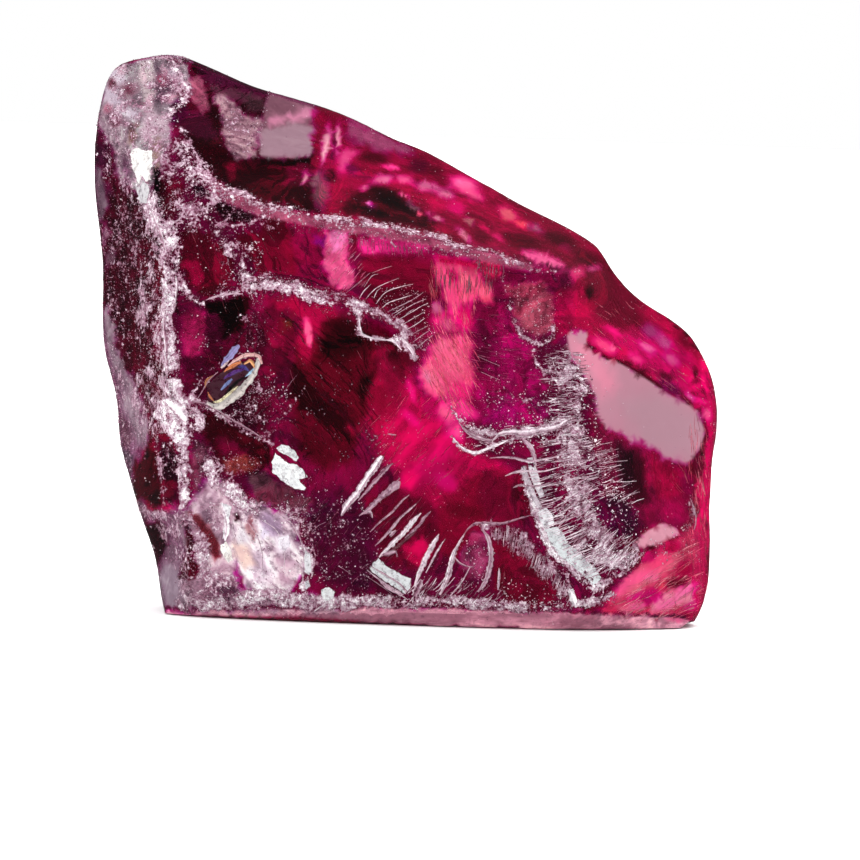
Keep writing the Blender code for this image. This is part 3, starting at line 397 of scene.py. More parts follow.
        (590, 440), (588, 412)], (132, 2, 54), 1.5, 0.4, 0.5),
    "under_facet_dark": ([(618, 446), (640, 452), (648, 470), (650, 500), (640, 506), (626, 490),
        (616, 468)], (66, 0, 30), 7, 0.15, 0.3),
    "under_facet_red": ([(648, 454), (672, 464), (684, 470), (682, 500), (660, 502), (650, 484)],
        (162, 10, 56), 7, 0.3, 0.5),
    "under_facet_magenta": ([(652, 500), (684, 498), (690, 516), (672, 522), (656, 516)], (168, 8, 66),
        7, 0.3, 0.4),
    "foot_purple": ([(596, 493), (613, 493), (629, 503), (642, 516), (646, 526), (638, 538), (622, 538),
        (609, 531), (599, 519), (594, 509)], (96, 10, 50), 5, 0.15, 0.5),
    # Painted reflection of soft light on a small facet
    "small_facet_reflection": ([(634, 543), (647, 531), (662, 523), (677, 528), (679, 533), (667, 541), (652, 546),
        (641, 548)], (208, 150, 164), 1.2, 0.7, 0.1),
    # Painted light: light shining through the lower right corner
    "lower_right": ([(600, 602), (626, 584), (648, 556), (680, 536), (700, 520), (704, 560), (700, 600),
        (690, 628), (600, 626)], (190, 38, 76), 4, 0.35, 0.4),
    "lower_right_salmon": ([(613, 599), (621, 587), (629, 574), (647, 563), (664, 556), (680, 553),
        (677, 564), (662, 576), (652, 585), (629, 596)], (222, 84, 106), 6, 0.7, 0.3),
    "lower_right_pink": ([(652, 605), (662, 594), (679, 589), (694, 587), (697, 596), (689, 604),
        (672, 611), (654, 611)], (238, 140, 160), 4, 0.8, 0.2),
    "lower_right_foot": ([(666, 616), (687, 615), (686, 624), (667, 624)], (236, 110, 136), 1.5, 0.85, 0.3),
    "lower_right_left": ([(616, 606), (646, 601), (645, 610), (621, 613)], (226, 96, 124), 1.5, 0.8, 0.4),
    # Painted light: light shining through the thin right rim
    "right_rim": ([(706, 396), (720, 400), (722, 440), (716, 470), (710, 500), (711, 550), (706, 600),
        (690, 630), (694, 590), (698, 550), (696, 500), (702, 470), (706, 430)], (206, 4, 62),
        2, 0.35, 0.3),
    "right_rim_pink": ([(697, 484), (704, 480), (706, 520), (700, 540), (696, 520)], (218, 24, 74),
        2, 0.6, 0.5),
    "top_band": ([(200, 166), (214, 180), (236, 193), (262, 204), (290, 209), (314, 215), (347, 220),
        (381, 225), (408, 231), (430, 235), (462, 245), (500, 255), (535, 266), (530, 272), (500, 266),
        (462, 257), (430, 247), (408, 243), (381, 238), (347, 232), (314, 227), (290, 222), (262, 217),
        (236, 208), (212, 196)], (156, 66, 94), 1.6, 0.7, 0.6),
    "bevel": ([(150, 612), (160, 613), (300, 608), (360, 606), (500, 610), (600, 613), (690, 617),
        (690, 640), (150, 640)], (246, 176, 196), 2, 0.8, 0.7),
    "bevel_dark": ([(200, 616), (300, 617), (360, 621), (360, 640), (200, 640)], (142, 34, 62),
        1.5, 0.5, 0.3),
    "left_face": ([(90, 70), (118, 100), (132, 150), (150, 200), (160, 300), (152, 330), (157, 400),
        (150, 440), (120, 440), (98, 340), (88, 200)], (78, 2, 30), 4, 0.5, 0.9),
    "left_edge_upper": ([(90, 165), (104, 168), (108, 190), (106, 212), (100, 226), (92, 215)],
        (104, 84, 96), 4, 0.85, 0.5),
    "left_edge_wine": ([(88, 112), (98, 108), (101, 130), (97, 152), (90, 150)], (92, 30, 56), 4, 0.5, 0.3),
    "left_edge_mauve": ([(92, 140), (104, 144), (103, 166), (92, 166)], (70, 30, 50), 4, 0.6, 0.3),
    "left_blob_high": ([(102, 222), (110, 224), (112, 240), (105, 244), (100, 234)], (140, 100, 122),
        3, 0.7, 0.4),
    "left_blob_low": ([(102, 250), (112, 252), (116, 264), (106, 270), (100, 262)], (110, 76, 92),
        3, 0.7, 0.4),
    "left_strip": ([(94, 275), (101, 288), (107, 305), (113, 322), (119, 345), (126, 366), (134, 386),
        (139, 402), (146, 420), (146, 440), (141, 452), (135, 468), (131, 484), (124, 496), (116, 470),
        (112, 430), (100, 380), (92, 330)], (138, 122, 132), 2.5, 0.85, 0.6),
    "left_strip_pale": ([(126, 392), (142, 400), (150, 430), (140, 446), (132, 424), (124, 410)],
        (166, 150, 160), 4, 0.9, 0.5),
    "left_strip_spot": ([(120, 424), (130, 426), (134, 444), (126, 452), (119, 440)], (98, 58, 76),
        3, 0.7, 0.6),
    "left_strip_foot": ([(119, 452), (134, 456), (130, 476), (122, 484)], (92, 78, 90), 3, 0.9, 0.5),
    "knob": ([(103, 76), (108, 66), (121, 58), (143, 52), (162, 48), (184, 52), (190, 66), (192, 80),
        (186, 100), (178, 110), (170, 128), (166, 160), (150, 200), (130, 190), (124, 150), (100, 116),
        (98, 96)], (150, 140, 146), 3, 0.9, 0.7),
    "knob_pale_left": ([(100, 92), (108, 70), (122, 62), (128, 80), (120, 96), (128, 106), (140, 112),
        (136, 122), (112, 112)], (194, 184, 196), 4, 0.92, 0.2),
    "knob_rose": ([(122, 84), (136, 82), (140, 92), (130, 98), (120, 96)], (152, 122, 134), 3, 0.9, 0.3),
    "knob_rib": ([(140, 62), (154, 60), (156, 84), (152, 110), (142, 114), (140, 90)], (188, 178, 178),
        3, 0.92, 0.3),
    "knob_violet": ([(156, 62), (168, 64), (176, 84), (174, 96), (162, 104), (154, 92)], (104, 86, 100),
        3, 0.88, 0.5),
    "knob_gleam": ([(165, 64), (176, 68), (188, 80), (186, 96), (176, 84)], (214, 206, 218), 3, 0.92, 0.3),
    "knob_pink": ([(142, 112), (168, 112), (168, 130), (162, 142), (144, 138)], (184, 164, 174),
        3, 0.92, 0.2),
    "knob_spot": ([(180, 55), (190, 57), (188, 63), (181, 62)], (52, 14, 28), 1.5, 0.3, 0.2),
    "knob_tail": ([(104, 104), (124, 116), (136, 130), (128, 160), (130, 190), (118, 180), (108, 150),
        (98, 124)], (152, 142, 150), 5, 0.75, 0.9),
    "knob_stain": ([(131, 127), (139, 126), (140, 134), (136, 141), (131, 138)], (120, 88, 76),
        2, 0.9, 0.4),
    "knob_brown": ([(153, 140), (161, 140), (161, 168), (155, 172), (152, 156)], (142, 118, 108),
        2, 0.92, 0.2),
    "knob_shadow": ([(174, 106), (186, 100), (188, 112), (180, 124), (172, 122)], (72, 14, 38),
        3, 0.3, 0.5),
    "pocket_red": ([(165, 180), (178, 177), (182, 186), (178, 204), (172, 216), (165, 206)], (110, 16, 38),
        2, 0.3, 0.6),
    "left_low": ([(125, 494), (140, 500), (160, 510), (190, 508), (200, 530), (196, 612), (150, 612),
        (140, 560)], (132, 110, 122), 3, 0.85, 0.45),
    "left_low_rose": ([(128, 498), (142, 500), (152, 512), (146, 520), (134, 514)], (110, 70, 90),
        3, 0.85, 0.4),
    "left_low_dark": ([(139, 524), (150, 520), (163, 526), (169, 540), (166, 548), (158, 556), (150, 552),
        (142, 540)], (60, 10, 24), 2.5, 0.2, 0.4),
    "left_low_pale": ([(154, 566), (176, 560), (184, 580), (186, 606), (162, 610)], (158, 142, 156),
        4, 0.9, 0.3),
    "low_left_lilac": ([(190, 506), (200, 484), (214, 476), (228, 484), (240, 506), (236, 560), (240, 590),
        (300, 596), (340, 598), (340, 612), (192, 612), (190, 560)], (184, 158, 174), 4, 0.8, 0.8),
    "low_left_plum": ([(212, 582), (232, 580), (240, 596), (222, 604), (210, 598)], (130, 92, 120),
        3, 0.7, 0.8),
    "dark_triangle": ([(197, 413), (207, 411), (222, 419), (245, 432), (262, 441), (270, 447), (273, 460),
        (262, 470), (250, 474), (232, 474), (220, 462), (212, 448), (203, 432)], (84, 4, 28),
        1.5, 0.08, 0.2),
    "dark_triangle_lit": ([(213, 438), (232, 440), (250, 450), (244, 458), (222, 456)], (128, 2, 50),
        3, 0.1, 0.3),
    "dark_triangle_rust": ([(222, 458), (250, 456), (262, 462), (252, 474), (232, 476), (222, 468)],
        (134, 38, 48), 3, 0.4, 0.9),
    "triangle_left": ([(149, 447), (154, 453), (157, 470), (160, 488), (162, 506), (150, 502), (136, 494),
        (129, 491), (134, 476), (142, 460)], (58, 2, 16), 1.2, 0.03, 0.2),
    "oval_left": ([(162, 444), (170, 438), (177, 454), (178, 474), (177, 497), (170, 505), (165, 501),
        (161, 480), (159, 460)], (76, 8, 36), 1.2, 0.08, 0.7),
    "oval_left_lit": ([(165, 482), (176, 482), (176, 498), (169, 504), (165, 496)], (132, 6, 44),
        2, 0.1, 0.4),
    "slot_right": ([(190, 442), (201, 441), (208, 455), (210, 470), (204, 474), (203, 490), (195, 490),
        (191, 470)], (118, 52, 80), 2, 0.4, 0.9),
    "red_wedge": ([(184, 520), (190, 526), (195, 542), (194, 560), (200, 567), (194, 580), (179, 578),
        (183, 562), (187, 544)], (92, 4, 26), 1.5, 0.08, 0.3),
    "blue_spot": ([(184, 517), (189, 519), (191, 532), (187, 530)], (48, 40, 88), 1.5, 0.5, 0.1),
    "red_diagonal": ([(189, 511), (197, 515), (208, 526), (218, 540), (222, 556), (215, 560), (206, 541),
        (198, 529)], (122, 34, 48), 1.5, 0.35, 0.4),
    "dome": ([(234, 502), (250, 500), (270, 507), (286, 514), (296, 526), (304, 545), (308, 562),
        (304, 580), (294, 592), (270, 598), (248, 590), (236, 570), (228, 548), (230, 520)],
        (200, 176, 190), 2.5, 0.92, 1.0),
    "dome_gleam": ([(278, 536), (290, 533), (293, 546), (284, 554), (276, 546)], (240, 230, 240),
        3, 0.95, 0.1),
    "dome_rose": ([(276, 554), (292, 558), (300, 572), (290, 586), (276, 580)], (198, 164, 182),
        4, 0.92, 0.6),
    "dome_pale": ([(250, 548), (268, 552), (274, 576), (262, 590), (248, 574)], (226, 208, 222),
        4, 0.92, 0.6),
    "dome_cream": ([(232, 540), (246, 544), (252, 562), (240, 566), (232, 556)], (230, 200, 190),
        3, 0.92, 0.2),
    "dome_violet": ([(262, 516), (276, 516), (282, 530), (274, 542), (264, 538)], (188, 168, 196),
        3, 0.9, 0.6),
    "dome_hollow": ([(232, 512), (238, 512), (240, 520), (235, 522)], (50, 30, 40), 1.2, 0.3, 0.1),
    "dome_rust": ([(246, 516), (252, 518), (256, 532), (252, 544), (247, 532)], (150, 96, 104),
        2, 0.7, 0.6),
    "dome_grey": ([(240, 524), (248, 536), (244, 548), (236, 540)], (214, 204, 214), 2.5, 0.92, 0.2),
}
# Frosted lines: the line, its width in pixels at the start and at the end, and its strength
FROST_LINES = {
    "top_edge_start": ([(182, 128), (188, 142), (196, 160), (206, 174)], 8, 14, 0.6),
    "top_edge": ([(200, 168), (214, 182), (236, 193), (262, 204), (290, 209), (314, 215), (347, 220),
        (381, 225), (408, 231), (430, 235), (462, 245), (500, 255)], 13, 6, 0.58),
    "top_edge_end": ([(500, 258), (521, 263), (536, 269), (556, 272)], 9, 5, 0.45),
    "shelf_line": ([(206, 300), (222, 295), (241, 293)], 3.5, 3.5, 0.95),
    "pocket_rim": ([(214, 222), (232, 226), (252, 222), (266, 214)], 6, 6, 0.55),
    "step_left": ([(248, 288), (262, 282), (280, 284), (303, 291)], 18, 18, 0.72),
    "step": ([(303, 291), (331, 298), (350, 303), (368, 311), (392, 321), (406, 332)], 19, 13, 0.68),
    "step_end": ([(398, 336), (408, 346), (415, 358)], 10, 7, 0.95),
    "chip_rim": ([(359, 316), (360, 328), (363, 336), (376, 339), (392, 341), (402, 350)], 4, 5, 0.85),
    "dotted": ([(262, 438), (272, 428), (280, 418), (291, 406), (302, 395)], 6, 3, 0.55),
    "dotted_left": ([(246, 424), (252, 410), (256, 394), (260, 380)], 8, 3, 0.3),
    "foot_left": ([(186, 604), (230, 602), (262, 596), (300, 602), (350, 603)], 16, 14, 0.8),
    "foot": ([(346, 601), (400, 602), (450, 602), (500, 606), (540, 608)], 14, 12, 0.75),
    "foot_right": ([(540, 608), (580, 604), (612, 596)], 10, 10, 0.7),
    "crack_upper": ([(448, 404), (461, 422), (476, 431), (500, 433), (520, 431), (546, 428), (566, 420)],
        4, 9, 0.7),
    "crack_lower": ([(452, 437), (462, 448), (475, 453), (487, 448), (502, 442), (520, 437), (546, 432)],
        3, 7, 0.9),
    "crack_top": ([(513, 397), (530, 401), (546, 396), (560, 389)], 4, 5, 0.5),
    "loop_left": ([(505, 282), (508, 301), (513, 318), (522, 333), (533, 343)], 3, 6, 0.6),
    "loop_inner": ([(515, 286), (520, 296), (522, 304)], 3, 2, 0.4),
    "loop_bottom": ([(533, 343), (546, 344), (553, 336), (553, 322)], 7, 3, 0.6),
    "loop_right": ([(553, 322), (557, 302), (569, 280), (579, 268)], 3, 3, 0.3),
    "field_left": ([(534, 345), (536, 360), (546, 373), (554, 380)], 5, 7, 0.6),
    "field": ([(560, 360), (572, 380), (580, 404), (576, 424), (566, 440)], 30, 28, 0.64),
    "field_low": ([(566, 440), (572, 470), (580, 500), (590, 520), (604, 540)], 30, 24, 0.62),
    "field_foot": ([(586, 548), (604, 556), (622, 562), (634, 552)], 24, 14, 0.95),
    "field_edge": ([(596, 586), (612, 578), (628, 566), (646, 550)], 12, 5, 0.7),
    "right_dots": ([(690, 500), (694, 515), (686, 530), (680, 542)], 8, 6, 0.3),
    "scoop_edge": ([(258, 158), (262, 140), (263, 118), (266, 98), (276, 86)], 3, 3, 0.35),
    "spine_edge": ([(524, 470), (528, 486), (534, 506), (541, 520), (546, 536), (556, 552), (572, 566),
        (590, 582)], 8, 14, 1.0),
    "ridge_upper": ([(146, 190), (154, 206), (163, 224), (168, 240)], 18, 24, 0.85),
    "ridge_middle": ([(166, 232), (169, 252), (171, 272), (169, 290), (168, 304)], 26, 18, 0.78),
    "ridge_lower": ([(166, 302), (164, 330), (166, 355), (168, 385), (170, 400)], 20, 28, 0.8),
    "ridge_branch": ([(141, 180), (143, 200), (148, 220), (153, 244), (158, 260)], 12, 4, 0.65),
    "ridge_wing": ([(160, 380), (146, 374), (140, 388), (138, 400)], 20, 16, 0.6),
    "star": ([(160, 414), (170, 404), (182, 406)], 14, 16, 1.1),
    "star_body": ([(166, 424), (182, 422), (194, 420)], 18, 22, 0.95),
    "ridge_foot": ([(176, 432), (183, 446), (184, 470), (185, 500)], 12, 11, 1.1),
    "ridge_foot_left": ([(157, 424), (157, 445), (159, 465), (162, 486), (165, 504)], 5, 4, 0.6),
    "ridge_foot_right": ([(200, 425), (207, 440), (212, 452), (220, 465), (231, 476)], 4, 4, 0.7),
    "ridge_foot_band": ([(208, 466), (220, 482), (236, 496), (254, 508)], 14, 16, 0.95),
    "triangle_foot": ([(137, 503), (150, 514), (170, 514), (188, 508)], 8, 14, 0.6),
    "low_left": ([(172, 518), (178, 536), (180, 556)], 6, 5, 0.5),
    "low_left_inner": ([(202, 540), (203, 566), (204, 600)], 16, 18, 0.65),
    "shelf": ([(176, 276), (184, 290), (196, 300), (204, 303)], 10, 5, 0.8),
    "star_right": ([(190, 399), (206, 405), (222, 415), (240, 426), (262, 439), (272, 444)], 6, 6, 0.7),
    "lens_line": ([(189, 400), (197, 387), (207, 374), (221, 361)], 4, 2, 0.55),
    "dome_rim": ([(256, 503), (272, 505), (288, 513), (298, 528)], 5, 7, 0.6),
    "dome_cap": ([(298, 524), (306, 534), (312, 548)], 16, 10, 0.55),
    "dome_right": ([(304, 548), (309, 562), (309, 576), (304, 588)], 9, 7, 1.1),
    "dome_left": ([(244, 504), (242, 520), (240, 540)], 4, 4, 0.5),
    "knob_rib_line": ([(145, 66), (149, 84), (152, 104), (150, 118)], 5, 6, 0.7),
    "knob_right": ([(174, 66), (184, 78), (189, 90), (182, 104), (170, 112)], 8, 6, 0.8),
    "knob_foot": ([(142, 116), (138, 124), (132, 140), (142, 146)], 6, 5, 0.6),
    "diagonal": ([(198, 202), (207, 216), (217, 232), (228, 248), (234, 258)], 8, 7, 0.62),
    "diagonal_low": ([(232, 256), (240, 266), (246, 280), (252, 294)], 8, 13, 0.8),
    "diagonal_side": ([(226, 238), (240, 246), (262, 250)], 9, 7, 0.5),
    "diagonal_start": ([(180, 204), (188, 206), (196, 210), (200, 214)], 12, 8, 0.6),
}
# Frosted patches: outline, strength, and softness of the edge in pixels
FROST_PATCHES = {
    "halo_top": ([(190, 150), (230, 190), (300, 210), (400, 232), (500, 262), (400, 248), (300, 232),
        (220, 226), (186, 200)], 0.3, 4),
    "top_edge_left": ([(180, 130), (192, 150), (205, 172), (225, 190), (240, 200), (220, 206), (196, 200),
        (178, 182)], 0.6, 4),
    "upper_middle": ([(160, 150), (182, 136), (196, 168), (204, 206), (196, 236), (178, 240), (164, 214),
        (156, 180)], 0.42, 4),
    "knob_light": ([(150, 60), (180, 62), (186, 96), (172, 126), (150, 140), (140, 110)], 0.5, 5),
    "halo_step": ([(200, 296), (240, 262), (300, 278), (370, 302), (420, 350), (404, 352), (360, 324),
        (300, 304), (240, 304)], 0.18, 4),
    "halo_diagonal": ([(190, 196), (214, 200), (262, 262), (262, 284), (230, 284), (208, 240)], 0.25, 5),
    "scoop_speckled": ([(216, 98), (224, 95), (243, 115), (262, 121), (258, 146), (244, 159), (230, 156),
        (222, 138)], 0.25, 2),
    "step_flare": ([(300, 276), (330, 288), (350, 300), (340, 306), (300, 298)], 0.4, 3),
    "fan_root": ([(372, 306), (400, 318), (424, 330), (430, 348), (418, 352), (396, 332), (372, 318)],
        0.3, 3),
    "loop_inside": ([(518, 304), (548, 302), (550, 330), (536, 340), (522, 326)], 0.22, 3),
    "low_left_dark": ([(308, 500), (340, 500), (372, 560), (368, 592), (312, 590)], 0.16, 4),
    "inner_arc": ([(480, 522), (500, 520), (522, 530), (548, 554), (566, 578), (574, 600), (560, 602),
        (544, 582), (520, 560), (498, 542), (480, 530)], 0.5, 3),
    "spine_right": ([(548, 470), (566, 466), (574, 500), (592, 530), (612, 552), (604, 574), (580, 556),
        (560, 532)], 0.4, 4),
    "knob": ([(112, 78), (121, 62), (143, 55), (162, 51), (184, 55), (189, 70), (188, 86), (180, 104),
        (170, 130), (164, 170), (140, 200), (128, 170), (118, 135), (108, 110)], 0.42, 5),
    "knob_side": ([(96, 110), (118, 130), (134, 190), (150, 240), (120, 235), (104, 180)], 0.34, 5),
    "left_face": ([(98, 210), (150, 230), (160, 300), (150, 380), (120, 350), (104, 290)], 0.27, 6),
    "left_face_dense": ([(140, 256), (160, 262), (160, 300), (146, 320), (132, 330), (130, 300),
        (138, 280)], 0.5, 5),
    "left_strip": ([(104, 330), (118, 345), (134, 388), (146, 430), (136, 460), (124, 490), (116, 440)],
        0.3, 4),
    "between_ridges": ([(150, 322), (160, 316), (178, 320), (180, 400), (160, 402), (152, 370)], 0.55, 4),
    "foot_of_star": ([(158, 418), (190, 412), (201, 426), (198, 438), (184, 446), (170, 436)], 0.75, 3),
    "star_left": ([(134, 384), (158, 384), (160, 412), (152, 440), (140, 430)], 0.5, 4),
    "low_left": ([(160, 508), (190, 505), (196, 500), (198, 560), (200, 608), (180, 606), (176, 560),
        (150, 520)], 0.42, 4),
    "cream_side": ([(204, 500), (220, 502), (222, 530), (212, 534), (204, 516)], 0.5, 3),
    "under_dome": ([(204, 566), (236, 574), (250, 592), (300, 594), (340, 600), (340, 610), (200, 610)],
        0.55, 4),
    "triangle_speck": ([(222, 456), (262, 462), (258, 474), (232, 476)], 0.3, 2),
    "oval_speck": ([(162, 444), (170, 438), (177, 454), (178, 480), (162, 480)], 0.3, 2),
    "slot_speck": ([(190, 442), (201, 441), (208, 455), (210, 470), (203, 490), (195, 490), (191, 470)],
        0.45, 2),
    "above_lens": ([(240, 320), (262, 306), (268, 330), (262, 350), (240, 350)], 0.3, 4),
    "beside_lens": ([(244, 380), (262, 376), (280, 396), (262, 430), (240, 424), (226, 412)], 0.32, 4),
    "wedge_speck": ([(262, 500), (300, 500), (320, 530), (316, 560), (300, 530), (280, 508)], 0.35, 3),
}
# Where the mottling is drawn out: outline, its direction in degrees (down to the right), and by how much
FLOWS = {
    "upper_strip": ([(296, 90), (340, 100), (620, 250), (620, 300), (500, 262), (400, 240), (300, 215),
        (270, 190)], 26, 1.5),
    "right_bulge": ([(560, 300), (600, 262), (720, 360), (725, 440), (690, 420), (640, 372), (590, 344)],
        38, 1.6),
    "glow": ([(300, 420), (460, 330), (520, 470), (400, 520), (330, 480)], -46, 2.5),
    "lower_right": ([(596, 612), (600, 590), (700, 530), (706, 620)], -30, 1.6),
    "bevel": ([(150, 640), (150, 612), (690, 612), (690, 640)], 1, 4.0),
    "bright": ([(430, 260), (500, 262), (500, 420), (420, 420)], 78, 2.0),
    "scoop": ([(190, 120), (330, 130), (330, 215), (214, 190)], 12, 2.0),
    "dome": ([(230, 500), (300, 510), (312, 590), (240, 596)], 50, 1.8),
}
# The lens-shaped crack: its dark body, and lines with their widths in pixels, each with its colour
LENS_BODY = {
    "dark": ([(206, 400), (206, 386), (218, 374), (234, 364), (250, 359), (257, 362), (252, 376),
        (240, 391), (226, 401), (214, 405)], (66, 6, 34)),
}
LENS = {
    "rim": ([(207, 403, 4), (216, 407, 8), (228, 401, 10), (240, 391, 10), (250, 379, 8), (257, 366, 7),
        (258, 358, 4)], (222, 212, 206)),
    "rim_cream": ([(213, 402, 1), (220, 401, 4), (230, 393, 4), (238, 386, 1)], (236, 226, 180)),
    "rim_top": ([(228, 366, 2), (236, 360, 4), (248, 355, 5), (258, 356, 5), (262, 364, 3)],
        (222, 170, 166)),
    "petal": ([(222, 366, 3), (228, 358, 8), (234, 351, 9), (239, 345, 4)], (150, 138, 196)),
    "petal_tip": ([(221, 368, 3), (225, 364, 4), (229, 360, 1)], (240, 214, 214)),
    "amber_1": ([(224, 372, 1.5), (232, 366, 5), (241, 362, 3)], (214, 118, 60)),
    "amber_2": ([(244, 364, 2), (251, 361, 5), (255, 368, 3)], (230, 160, 100)),
    "amber_3": ([(205, 388, 1.5), (207, 380, 3), (214, 375, 1)], (196, 120, 66)),
    "amber_4": ([(208, 392, 1.5), (210, 397, 3), (214, 401, 1)], (176, 96, 50)),
    "violet_1": ([(224, 379, 2), (231, 374, 6), (238, 371, 5), (245, 369, 3)], (92, 30, 130)),
    "violet_2": ([(238, 367, 2), (244, 367, 5), (249, 371, 2)], (58, 44, 128)),
    "blue": ([(221, 390, 2), (226, 385, 5), (232, 379, 3)], (110, 124, 176)),
    "azure": ([(245, 377, 1), (250, 373, 4), (254, 369, 3)], (170, 205, 235)),
    "black_1": ([(225, 395, 2), (232, 387, 5), (238, 381, 4), (246, 377, 2)], (20, 2, 12)),
    "outer_1": ([(198, 398, 1), (203, 390, 1.6), (210, 379, 1.6), (218, 372, 1)], (186, 136, 156)),
}
# Hackle blades: raised splinters along a line; each point is a place and the blade's width there, in pixels
BLADES = {
    "a": ([(341, 515, 1), (347, 505, 8), (357, 493, 7), (368, 476, 8), (378, 462, 9), (382, 456, 4)], 0.9),
    "a_side": ([(358, 501, 1), (370, 487, 4), (384, 471, 5), (393, 463, 1)], 0.45),
    "a_foot": ([(341, 516, 1.5), (346, 510, 2), (350, 506, 1)], 0.6),
    "b": ([(359, 516, 1), (369, 509, 5), (381, 497, 6), (391, 489, 9), (397, 484, 9), (399, 481, 3)], 0.7),
    "b_spike": ([(391, 486, 2), (400, 478, 0.8)], 0.5),
    "b_fleck": ([(364, 514, 1), (370, 512, 5), (372, 517, 2)], 0.6),
    "c": ([(370, 532, 1), (381, 521, 2.2), (392, 512, 2.6), (402, 501, 2.2), (409, 495, 0.8)], 0.75),
    "d": ([(375, 546, 1), (386, 535, 3), (396, 523, 4), (400, 518, 2.5), (408, 511, 2.5), (416, 504, 1)],
        0.75),
    "d_barb": ([(390, 536, 3), (393, 533, 4), (396, 530, 1)], 0.6),
    "e": ([(379, 557, 2), (391, 545, 5), (403, 533, 6), (413, 521, 6), (421, 513, 1)], 0.9),
    "e_side": ([(405, 538, 1), (413, 531, 3), (421, 523, 3), (424, 518, 4), (431, 511, 0.8)], 0.6),
    "e_foot": ([(380, 556, 2), (388, 553, 6), (396, 552, 3), (397, 557, 1)], 0.6),
    "facet_edge": ([(370, 566, 1), (384, 574, 3), (398, 583, 3), (407, 592, 3)], 0.6),
    "facet_under": ([(367, 570, 0.8), (382, 582, 1.3), (396, 592, 1.3), (408, 600, 0.8)], 0.7),
    "f": ([(415, 585, 2), (420, 571, 6), (427, 555, 7), (434, 543, 6), (439, 534, 1)], 0.75),
    "f_side": ([(426, 573, 1), (432, 561, 2.4), (438, 550, 2.2), (445, 539, 0.8)], 0.65),
    "f_foot": ([(414, 596, 7), (418, 588, 9), (422, 580, 4)], 0.5),
    "g": ([(440, 595, 2), (447, 579, 6), (451, 564, 6), (454, 553, 5), (459, 543, 3), (465, 533, 1)], 0.9),
    "g_hook": ([(455, 558, 2), (460, 563, 3), (466, 566, 1.6), (473, 567, 0.8)], 0.6),
    "g_side": ([(470, 567, 1), (463, 580, 1.8), (457, 588, 1.6), (450, 596, 2)], 0.6),
    "arch": ([(463, 536, 1), (468, 529, 2), (475, 524, 3), (485, 522.5, 2.5), (494, 524, 4), (505, 523, 3),
        (521, 518, 2), (536, 514, 1)], 0.55),
    "arch_branch": ([(482, 529, 1), (488, 538, 5), (491, 552, 6), (490, 566, 6), (485, 582, 5),
        (478, 592, 2)], 0.7),
    "sliver": ([(499, 568, 0.8), (499, 578, 3.2), (498, 590, 1)], 0.8),
    "low_sliver": ([(571, 591, 2), (575, 599, 4.5), (576, 607, 2)], 1.0),
    "crack_tip_1": ([(490, 458, 0.8), (502, 457, 2), (515, 458, 3), (529, 461, 3.5), (550, 458, 2),
        (560, 455, 1)], 0.7),
    "crack_tip_2": ([(505, 476, 0.8), (516, 472, 3), (530, 471, 2.5), (545, 471, 2), (562, 466, 1)], 0.75),
    "crack_tip_3": ([(513, 488, 0.8), (520, 485, 2.5), (535, 486, 2), (560, 482, 1)], 0.65),
    "crack_lip": ([(453, 438, 1), (463, 448, 2), (475, 453, 4), (487, 449, 3), (500, 444, 2.5),
        (508, 440, 1)], 0.85),
    "crack_ledge": ([(460, 424, 1), (468, 432, 5), (478, 437, 7), (490, 440, 4), (498, 437, 1)], 0.55),
    "crack_roof": ([(492, 442, 1), (500, 434, 4), (512, 432, 7), (526, 433, 8), (540, 430, 7),
        (556, 427, 6), (568, 420, 3)], 0.75),
    "crack_arm": ([(522, 438, 2), (530, 447, 6), (534, 456, 5), (536, 466, 2)], 0.5),
    "centre_fleck": ([(388, 434, 1), (392, 434.5, 1.6), (396, 435, 1)], 0.7),
    "star_chip": ([(166, 400, 6), (174, 406, 14), (181, 414, 12), (186, 421, 5)], 0.95),
    "ridge_chip_2": ([(176, 276, 1), (177, 284, 3), (176, 296, 2), (175, 306, 1)], 0.85),
    "ridge_gleam_low": ([(166, 306, 1), (164, 326, 3), (166, 346, 4), (167, 366, 2)], 0.65),
    "ridge_gleam_upper": ([(150, 206, 1), (156, 222, 3), (162, 238, 4), (165, 250, 2)], 0.7),
    "white_sliver": ([(221, 503, 1.5), (225, 514, 5), (227, 528, 7), (225, 541, 2)], 0.95),
    "step_tip": ([(402, 338, 2), (409, 346, 6), (413, 352, 6), (415, 361, 2)], 0.85),
    "chip_corner": ([(359, 318, 1.4), (360, 328, 2.6), (363, 335, 3), (376, 339, 2.2), (392, 341, 2),
        (402, 350, 1.4)], 0.8),
    "shelf_lip": ([(206, 300, 1), (214, 297, 2.4), (224, 295, 2.2), (234, 293.5, 2.4), (243, 294, 1)],
        0.75),
    "lens_spine": ([(192, 401, 2.5), (204, 404, 2.5), (216, 410, 2.5), (230, 419, 2.5), (246, 428, 3),
        (262, 438, 2)], 0.4),
}
